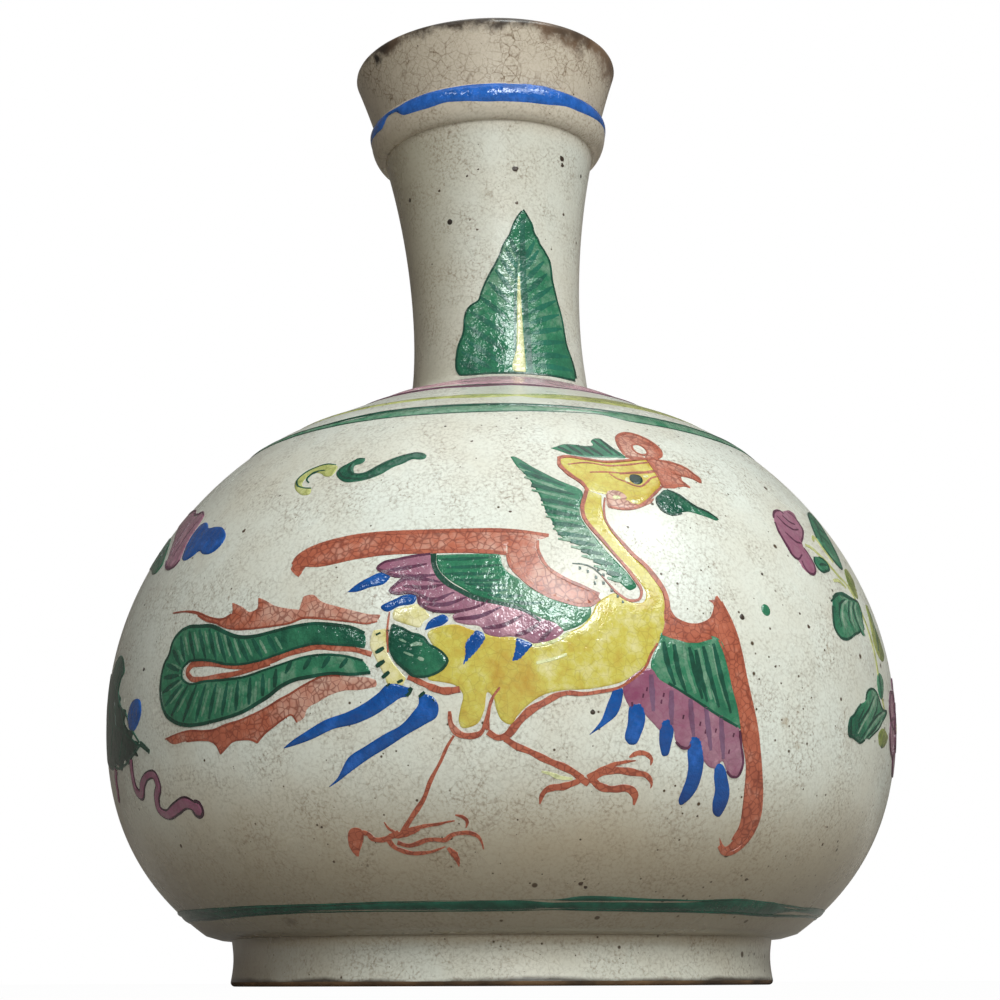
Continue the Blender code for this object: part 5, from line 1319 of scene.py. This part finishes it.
class VASE_OT_phoenix(bpy.types.Operator):
    """The phoenix: fields of enamel, then strokes of green-black, dark rose and iron red over them."""
    bl_idname = "vase.phoenix"
    bl_label = "Phoenix"

    def execute(self, context):
        thick, line, red = paint_mm("enamel", "outline", "red")
        over_wash = red + 0.05
        enamel_piece("phoenix_green", "copper_green_enamel", [
            field(TAIL + TAIL_INSIDE, thick, (-18, 81, 1.0), (-23, 83, 0.9), (-28, 82.5, 0.8), (-32, 81, 0.4),
                  (-20, 76, -0.35), (-27, 74.5, -0.3), (-48, 76, 0.1), (-40, 70, 0.0), (-40, 85, 0.15),
                  (-34, 70, -0.2)),
            field(RUMP_SCALES, 1.2 * thick, (-12.5, 80, 1.0), (-8, 75, 0.2), (-9, 73, 0.5), (-11, 83, 1.0)),
            # The coverts' palest mark, at (3, 91), is a painted highlight where the lamp's glare falls
            field(COVERTS, thick, (-6, 100, 0.2), (8, 86, -0.35), (-2, 92, 0.1), (0, 97, -0.25),
                  (3, 91, -0.6)),
            field(CREST_FEATHERS, thick, (16, 134, 0.3)),
            # The nape's pale mark at (12, 104) is a painted highlight where the lamp's glare falls
            field(NAPE, thick, (4, 127, 0.3), (7, 118, 0.2), (12, 104, -0.6), (16, 97, 0.0)),
            field(BEARD, thick, (25, 118, 0.9), (31, 116, 0.3)),
            field(FAR_COVERTS, thick, (24, 78, -0.15), (28, 68, 0.1)),
            field(circle((36.7, 91.7), 0.8, 1.6), thick)],
            [(places, (0.6 * width, width, 0.6 * width), 1.5 * thick, -0.9) for places, width in RUMP_GLINTS]
            + strokes([moved(rib, 1.0) for rib in TAIL_RIBS[4:]], (0.3, 0.9, 0.7, 0.2), 1.04 * thick, -0.35)
            + strokes([moved(rib, 1.3) for rib in FAR_COVERT_LINES[:5]], (0.6, 1.3, 0.9), 1.04 * thick, -0.4)
            + strokes([moved(rib, 0.0, -1.5) for rib in NAPE_STROKES], (0.5, 1.2, 0.6), 1.04 * thick, -0.5))
        enamel_piece("phoenix_yellow", "antimony_yellow_enamel", [
            field(BODY, 0.9 * thick, (3, 72, 0.7), (18, 90, 0), (-3, 66, 0.1), (6, 76, -0.5), (13, 114, -0.2),
                  (8, 72, -0.1)),
            field(HEAD, 0.9 * thick, (18, 126, 0.4), (14, 122, 0.1)),
            field(RUMP_PATCH, 0.9 * thick, (-11, 87, -0.8)),
            field(RUMP_COLLAR, 0.7 * thick, (-14, 77, -0.6), shoulder=0.5)])
        enamel_piece("phoenix_pink", "rose_pink_enamel", [
            field(PINK_UPPER, thick, (-10, 95, 0.1), (-14, 99, 0.5), (-13, 94, 0.5), (-8, 100, -0.3)),
            field(PINK_LOWER, thick, (1, 85, -0.7), (-1, 82, 0.2), (6, 81, 0.1), (-4, 86, -0.2)),
            field(FAR_PINK, thick, (17, 70, 0.6), (26, 60, 0.15))])
        enamel_piece("phoenix_blue", "cobalt_blue_enamel", fields_of(
            TAIL_FEATHERS + WING_TIPS + FAR_TIPS, 1.2 * thick, (24, 44, 0.7), (29.4, 41.5, 0.7),
            (-20, 60, 0.0), (0, 80, 0.0), (25, 54, -0.1), (29, 49, 0.0), (16, 60, 0.1), shoulder=0.7))

        enamel_piece("phoenix_iron_red_wash", "iron_red_wash", [
            *fields_of([UPPER_FLAME, LOWER_FLAME], red, (-30, 89, -0.45), (-40, 61, 0.1), (-20, 71, -0.6),
                       (-37, 92, -0.1), shoulder=0.3),
            field(WING_BAR, red, (-20, 106, -0.2), (-8, 106, -0.1), (0, 105.6, -0.4), (-27, 102, 0.2),
                  shoulder=0.3),
            field(WING_ARM, red, (6, 95, -0.2), (2.6, 102, -0.2), (11, 91, -0.1), shoulder=0.3),
            field(CREST_RING, red, (22, 138, -0.4), (23.7, 135.5, -0.6), (27, 136, 0.0), shoulder=0.3),
            field(BEAK, red, (29, 130, -0.3), (28, 126, -0.1), shoulder=0.3),
            field(WATTLE, thick, (16.6, 119.6, -0.9), (20, 117, -0.4), shoulder=0.3),
            field(CLAW_BLOT, red, (-20, 34, 0.2), shoulder=0.3),
            field(FAR_ARCH, red, (31, 75, 0.05), (35, 50, 0.1), (24.5, 84, 0.2), shoulder=0.3)])
        flame_edges = [UPPER_FLAME[1:8], UPPER_FLAME[29:-1], LOWER_FLAME[1:16], LOWER_FLAME[28:-1]]
        enamel_piece("phoenix_iron_red_lines", "iron_red_wash", lines=(
            [(places, widths, line, 0.2) for places, widths in RED_LINES]
            + [(places, widths, over_wash, 0.2) for places, widths in LOW_RED_LINES]
            + strokes(TAIL_SLIT, (1.3, 1.7, 1.4), over_wash, 0.1)
            + strokes(flame_edges, (0.4, 0.6, 0.5, 0.6), over_wash, 0.7)))

        enamel_piece("phoenix_dark_strokes", "green_black_outline", lines=(
            [(TAIL, (0.8, 1.1, 1.1, 1.0, 0.9), line, 0.1), (TAIL_INSIDE, (0.6, 0.7, 0.6), line, 0.0)]
            + strokes(TAIL_RIBS, (0.8, 1.6, 1.4, 0.6), line, -0.2)
            + strokes([COVERTS_EDGE], (1.5, 1.5, 1.2, 0.8), line, 0.1)
            + strokes(COVERTS_VEINS, (0.5, 1.1, 0.9, 0.4), line, -0.4)
            + strokes(CREST_STROKES, (0.8, 1.3, 0.6), line, 0.3)
            + strokes(NAPE_STROKES, (1.0, 1.6, 1.2, 0.5), line, -0.3)
            + strokes(FAR_COVERT_LINES, (1.0, 1.7, 1.4, 0.7), line, -0.15)
            + strokes([[(20.9, 70.9), (24.2, 67.6), (27.7, 64.1), (30.9, 61.5)]], (0.7, 0.8), line, 0.0)
            + [(places, (0.7 * width, width, 0.7 * width), line, 0.3) for places, width in RUMP_DOTS]
            + [(RUMP_SCALES + RUMP_SCALES[:1], (0.5, 0.7, 0.5), 1.2 * line, 0.0)]
            + strokes([[(a, h), (a + 0.3, h)] for a, h in COLLAR_DOTS], (0.9, 0.7), line, 0.2)
            + strokes([[(12.9, 97), (11.9, 98.9), (10.7, 99.8), (9.2, 100)]], (0.4, 0.4, 0.3), line, 0.4)
            + strokes([[(25.4, 122.9), (26.8, 122), (28.1, 120.2), (29.2, 118.7), (31, 117.6),
                        (32.6, 115.9)]], (0.5, 1.1, 0.9, 0.5), line, 0.3)
            + strokes([[(23.1, 120), (23, 118), (23.6, 116.2), (24.7, 115.4), (26.5, 116.1)]],
                      (0.6, 0.8, 0.5), line, 0.2)),
            fields=[field(EYE, 1.3 * line, (20.7, 125, 0.5), shoulder=0.5)])
        enamel_piece("phoenix_rose_strokes", "dark_rose_outline", lines=(
            strokes(PINK_STROKES, (0.6, 1.3, 1.1, 0.4), line, -0.1)
            + strokes(FAR_PINK_LINES, (1.3, 1.8, 0.9), line, -0.8)
            + strokes(FAR_PINK_EDGE, (0.6, 0.8, 0.6), line, 0.1)
            + strokes([PINK_UPPER[:19]], (0.7, 0.9, 0.7), line, 0.1)
            + strokes([[(a, h - 0.5), (a + 0.1, h + 0.5)] for a, h in FAR_PINK_SPOTS], (0.5, 0.8, 0.5),
                      line, 0.2)))
        # Pale marks on the eye, the wattle and a toe, and painted highlights on the yellow body
        enamel_piece("phoenix_pale_marks", "olive_enamel",
                     fields_of(WATTLE_SPOTS + EYE_CORNERS, 1.2 * line, (20, 120, -1.0), shoulder=0.3),
                     [(places, (width, width), 1.3 * line, -1.0) for places, width in BODY_HIGHLIGHT_STREAKS]
                     + [(*PALE_TOE, over_wash, -1.0)])
        return {"FINISHED"}


class VASE_OT_neck_leaf(bpy.types.Operator):
    """The leaf on the front of the neck, and its fellow on the back."""
    bl_idname = "vase.neck_leaf"
    bl_label = "Neck Leaves"

    def execute(self, context):
        thick, line = paint_mm("enamel", "outline")
        for side, turn in (("front", 0.0), ("back", 180.0)):
            enamel_piece(f"neck_leaf_{side}", "copper_green_enamel",
                         [field(moved(LEAF, turn), thick, *moved(LEAF_TONES, turn), step=1.2)])
            enamel_piece(f"neck_leaf_rib_{side}", "olive_enamel",
                         [field(moved(LEAF_RIB, turn), 1.6 * thick, *moved([(14, 185, -0.9)], turn),
                                shoulder=0.5)])
            enamel_piece(f"neck_leaf_strokes_{side}", "green_black_outline", lines=[
                (moved(places, turn), widths, line, tone) for places, widths, tone in LEAF_STROKES])
        return {"FINISHED"}


class VASE_OT_clouds(bpy.types.Operator):
    """The two cloud scrolls left of the phoenix's head, and the same pair on the far side."""
    bl_idname = "vase.clouds"
    bl_label = "Cloud Scrolls"

    def execute(self, context):
        thick, line = paint_mm("enamel", "outline")
        for side, turn, up in (("front", 0.0, 0.0), ("back", 209.0, 6.0)):
            enamel_piece(f"cloud_hook_{side}", "olive_enamel", [field(moved(HOOK, turn, up), thick)])
            enamel_piece(f"cloud_scroll_{side}", "copper_green_enamel",
                         [field(moved(DOUBLE_HOOK, turn, up), thick, *moved([(-20, 127, 0.6)], turn, up))])
            enamel_piece(f"cloud_strokes_{side}", "green_black_outline", lines=(
                strokes([moved(one, turn, up) for one in HOOK_LINES], (0.4, 0.7, 0.4), line, -0.3)
                + strokes([moved(one, turn, up) for one in DOUBLE_HOOK_LINES], (0.5, 1.0, 0.8, 0.5),
                          line, -0.1)))
        return {"FINISHED"}


class VASE_OT_left_spray(bpy.types.Operator):
    """The flower and the ribboned leaf at the left, which run on round the side."""
    bl_idname = "vase.left_spray"
    bl_label = "Left Flower and Ribboned Leaf"

    def execute(self, context):
        thick, line = paint_mm("enamel", "outline")
        enamel_piece("left_green", "copper_green_enamel", [field(LEFT_LEAF, thick, (-70, 118, 0.6))])
        enamel_piece("left_emblem", "green_black_outline",
                     [field(EMBLEM, thick, (-72, 72, 0.2), (-62, 63, 0.5), (-68, 84, -0.1))])
        enamel_piece("left_pink", "rose_pink_enamel",
                     [field(LEFT_PINK, thick, (-62, 122, 0.1)),
                      field(circle(BERRY, 1.0, 1.7), 1.2 * line, (-45, 44, 0.7))],
                     [(RIBBON, tuple(0.85 * width for width in RIBBON_WIDTHS), 1.2 * line, 0.75),
                      (RIBBON_END, (2.6, 2.0, 0.8), 1.2 * line, 0.9)])
        enamel_piece("left_blue", "cobalt_blue_enamel", fields_of([LEFT_BLUE, EMBLEM_BLUE], 1.3 * thick))
        enamel_piece("left_dark_strokes", "green_black_outline",
                     lines=strokes(LEFT_LEAF_LINES + EMBLEM_LINES, (0.5, 0.8, 0.5), line, -0.2)
                     + strokes([[(-56.9, 62), (-55.6, 60.8), (-54.3, 59.4)]], (1.6, 1.2), line, 0.2))
        enamel_piece("left_rose_strokes", "dark_rose_outline",
                     lines=strokes(LEFT_PINK_LINES, (0.5, 0.8, 0.5), line, 0.0)
                     + [(RIBBON, tuple(0.85 * width + 1.0 for width in RIBBON_WIDTHS), 0.8 * line, 0.8),
                        (RIBBON_END, (3.4, 2.8, 1.4), 0.8 * line, 0.6)],
                     fields=[field(circle(BERRY, 1.35, 2.4), 0.8 * line, (-45, 44, 0.7), shoulder=0.2)])
        return {"FINISHED"}


def branch(name, turn, mirror=None):
    """The peony branch, turned or mirrored round the pot: a bud, leaves on olive stems and an open flower."""
    thick, line = paint_mm("enamel", "outline")

    def here(places):
        return moved(places, turn, mirror_at=mirror)

    def all_here(*outlines):
        return [here(one) for one in outlines]

    petals = [circle(middle, 3.6, 5.2) for middle in circle(FLOWER, 6.0, 8.5, 7)]
    rings = [circle(middle, 2.2, 3.2) for middle in circle(FLOWER, 2.6, 3.8, 5, 0.4)]
    enamel_piece(f"{name}_leaves", "copper_green_enamel",
                 fields_of(all_here(BUD_LEAF, UPPER_LEAF, LOBED_LEAF, LOWER_LEAVES, SMALL_LEAF), thick,
                           *here([(54, 64, 0.9), (52, 96, 0.6), (58, 95, -0.1), (61, 120, 0.1),
                                  (60, 70, -0.35), (55, 93, -0.4)])),
                 strokes([here(moved(one, 0.9)) for one in BRANCH_VEINS[:3] + BRANCH_VEINS[9:12]],
                         (0.5, 1.1, 0.6), 1.05 * thick, -0.7))
    enamel_piece(f"{name}_stems", "olive_enamel",
                 fields_of(all_here(OLIVE_LEAF, GREY_LEAF, OLIVE_BUD), thick, *here([(68, 95, 0.7)])),
                 strokes(all_here(*STEMS), (1.0, 1.3, 0.8), 0.8 * thick, -0.2))
    enamel_piece(f"{name}_flowers", "rose_pink_enamel",
                 [field(here(BUD), thick, *here([(49, 110, 0.5), (50, 120, 0.25)]))]
                 + [field(here(one), thick * (1.0 + 0.06 * i)) for i, one in enumerate(petals)]
                 + [field(here(one), thick * (1.6 + 0.05 * i)) for i, one in enumerate(rings)])
    enamel_piece(f"{name}_flower_heart", "antimony_yellow_enamel",
                 [field(here(circle(FLOWER, 1.2, 2.0)), 2.4 * thick)])
    enamel_piece(f"{name}_rose_strokes", "dark_rose_outline", lines=(
        strokes(all_here(*BUD_LINES), (0.5, 0.9, 0.5), line, 0.1)
        + strokes([here(one + one[:1]) for one in petals], (0.7, 1.0, 0.7), 1.4 * line, 0.2)
        + strokes([here(one + one[:1]) for one in rings], (0.6, 0.8, 0.6), 2.0 * line, 0.2)))
    leaf_edges = all_here(LOBED_LEAF[:9], LOBED_LEAF[10:], LOWER_LEAVES[:12], LOWER_LEAVES[12:], UPPER_LEAF,
                          BUD_LEAF)
    enamel_piece(f"{name}_dark_strokes", "green_black_outline", lines=(
        strokes(all_here(*BRANCH_VEINS), (0.5, 1.1, 0.4), line, -0.1)
        + strokes(leaf_edges, (0.5, 0.8, 0.5), line, 0.0)
        + [(here(places), widths, line, tone) for places, widths, tone in BRANCH_SPOTS]))


class VASE_OT_right_branch(bpy.types.Operator):
    """The peony branch at the right."""
    bl_idname = "vase.right_branch"
    bl_label = "Right Peony Branch"

    def execute(self, context):
        branch("right_branch", 0.0)
        return {"FINISHED"}


class VASE_OT_back_branch(bpy.types.Operator):
    """The back of the pot, which the photograph doesn't show: the same branch mirrored beyond its flower,
    and once more behind the left flower."""
    bl_idname = "vase.back_branch"
    bl_label = "Back Peony Branches"

    def execute(self, context):
        branch("back_branch_right", 78.0, mirror=FLOWER[0])
        branch("back_branch_left", 152.0)
        return {"FINISHED"}


class VASE_OT_specks(bpy.types.Operator):
    """Iron specks that broke through the glaze, each a small low blister."""
    bl_idname = "vase.specks"
    bl_label = "Iron Specks"

    def execute(self, context):
        blots = []
        for i, (azimuth, height, size) in enumerate(SPECKS):
            across = 0.62 * math.degrees(size / float(wall_radius(height)))
            outline = [(azimuth + across * math.cos(t) * (1.0 + 0.25 * math.sin(3 * t + i)),
                        height + 0.54 * size * math.sin(t) * (1.0 + 0.2 * math.cos(2 * t + i)))
                       for t in np.linspace(0.0, 2.0 * math.pi, 8, endpoint=False)]
            blots.append(field(outline, 0.12, (azimuth, height, 0.5 if size > 1.0 else -0.2),
                               shoulder=0.4 * size, step=0.6))
        enamel_piece("iron_specks", "iron_speck", blots)
        return {"FINISHED"}


def seen_white(holder, share=1.0):
    """How far a surface or the world glows white: by a share to the camera, in full to light that passes
    through glass, and faintly in reflections, so that the pot's own lamps show there."""
    path = add_node(holder, "ShaderNodeLightPath").outputs
    faint = maths(holder, "MULTIPLY", path["Is Glossy Ray"], 0.08)
    return maths(holder, "MAXIMUM", maths(holder, "MULTIPLY", path["Is Camera Ray"], share),
                 maths(holder, "MAXIMUM", path["Is Transmission Ray"], faint))


# Area lamps: place and the point they face in metres, the side in metres, watts and the spread in degrees
POT = (0.0, -0.05, 0.13)
LAMPS = (("window", (0.42, -1.42, 0.955), POT, 0.5, 15.0, 180.0),
         ("key", (0.88, -1.0, 1.3), POT, 0.9, 13.2, 180.0),
         ("spot", (0.76, -0.49, 1.22), POT, 0.26, 2.6, 180.0),
         ("left", (-0.69, -1.15, 0.88), POT, 0.2, 1.9, 180.0),
         ("low", (0.15, -1.3, 0.16), (0.0, -0.08, 0.02), 0.4, 0.74, 60.0),
         ("sweep", (0.15, 0.25, 0.8), (0.5, 0.45, 0.0), 0.3, 1.3, 60.0),
         ("ceiling", (0.1, -0.1, 1.7), POT, 1.4, 8.0, 180.0),
         ("back", (0.05, 1.4, 0.3), (0.0, 0.08, 0.24), 0.7, 3.4, 60.0))
UNREFLECTED_LAMPS = ("low", "back")


class VASE_OT_stage(bpy.types.Operator):
    """The pale floor, the soft lamps, the white surroundings and the camera that took the photograph."""
    bl_idname = "vase.stage"
    bl_label = "Stage"

    def execute(self, context):
        scene = context.scene
        mesh = bpy.data.meshes.new("floor")
        mesh.from_pydata([(-6, -6, 0), (6, -6, 0), (6, 6, 0), (-6, 6, 0)], [], [(0, 1, 2, 3)])
        floor = bpy.data.objects.new("floor", mesh)
        scene.collection.objects.link(floor)
        paper, shader = new_finish("white_paper", Base_Color=rgba("8E8880"), Roughness=0.9)
        glow = add_node(paper, "ShaderNodeEmission", {"Color": rgba("FFFFFF"), "Strength": 1.0})
        surface = add_node(paper, "ShaderNodeMixShader", {0: seen_white(paper, 0.98), 1: shader.outputs[0],
                                                          2: glow.outputs[0]})
        set_inputs(paper, paper.node_tree.nodes["Material Output"], {"Surface": surface.outputs[0]})
        mesh.materials.append(paper)

        world = bpy.data.worlds.new("white_room")
        world.use_nodes = True
        world.node_tree.nodes.clear()
        scene.world = world
        dim = add_node(world, "ShaderNodeBackground", {"Color": rgba("D8C9B6"), "Strength": 0.13})
        white = add_node(world, "ShaderNodeBackground", {"Color": rgba("FFFFFF"), "Strength": 1.0})
        room = add_node(world, "ShaderNodeMixShader", {0: seen_white(world), 1: dim.outputs[0],
                                                       2: white.outputs[0]})
        add_node(world, "ShaderNodeOutputWorld", {"Surface": room.outputs[0]})

        for name, place, aim, size, watts, spread in LAMPS:
            lamp = bpy.data.lights.new(name, "AREA")
            lamp.shape, lamp.size, lamp.energy, lamp.spread = "SQUARE", size, watts, math.radians(spread)
            lamp.color = linear("F8FFFF")
            holder = bpy.data.objects.new(name, lamp)
            towards = np.array(aim) - np.array(place)
            towards /= np.linalg.norm(towards)
            holder.location = place
            holder.rotation_euler = (math.acos(-towards[2]), 0.0, math.atan2(-towards[0], towards[1]))
            holder.visible_glossy = name not in UNREFLECTED_LAMPS
            scene.collection.objects.link(holder)

        camera = bpy.data.cameras.new("photograph_view")
        camera.lens, camera.sensor_width, camera.clip_start = CAMERA_LENS, CAMERA_SENSOR, 0.01
        eye = bpy.data.objects.new("photograph_view", camera)
        eye.location = CAMERA_PLACE
        eye.rotation_mode = "QUATERNION"
        half = 0.5 * (0.5 * math.pi + CAMERA_PITCH)
        pitch = Quaternion((math.cos(half), math.sin(half), 0.0, 0.0))
        eye.rotation_quaternion = pitch @ Quaternion((0.0, 0.0, 1.0), CAMERA_ROLL)
        scene.collection.objects.link(eye)
        scene.camera = eye
        scene.view_settings.view_transform = "Standard"
        return {"FINISHED"}


PIECE_OPERATORS = (VASE_OT_glaze, VASE_OT_foot, VASE_OT_bands, VASE_OT_phoenix, VASE_OT_neck_leaf,
                   VASE_OT_clouds, VASE_OT_left_spray, VASE_OT_right_branch, VASE_OT_back_branch,
                   VASE_OT_specks, VASE_OT_stage)


class VASE_PT_panel(bpy.types.Panel):
    """Lists the sizes, the colours and the operators that make each group of pieces."""
    bl_label = "Bottle Vase"
    bl_space_type = "VIEW_3D"
    bl_region_type = "UI"
    bl_category = "Vase"

    def draw(self, context):
        for group in (context.scene.vase_sizes, context.scene.vase_colours):
            box = self.layout.box()
            for name in group.__annotations__:
                box.prop(group, name)
        for operator in PIECE_OPERATORS:
            self.layout.operator(operator.bl_idname)


CLASSES = (VaseSizes, VaseColours, *PIECE_OPERATORS, VASE_PT_panel)


def register():
    for one in CLASSES:
        bpy.utils.register_class(one)
    bpy.types.Scene.vase_sizes = PointerProperty(type=VaseSizes)
    bpy.types.Scene.vase_colours = PointerProperty(type=VaseColours)


def unregister():
    del bpy.types.Scene.vase_colours, bpy.types.Scene.vase_sizes
    for one in reversed(CLASSES):
        bpy.utils.unregister_class(one)


def main():
    register()
    for operator in PIECE_OPERATORS:
        getattr(bpy.ops.vase, operator.bl_idname.split(".")[1])()


if __name__ == "__main__":
    main()
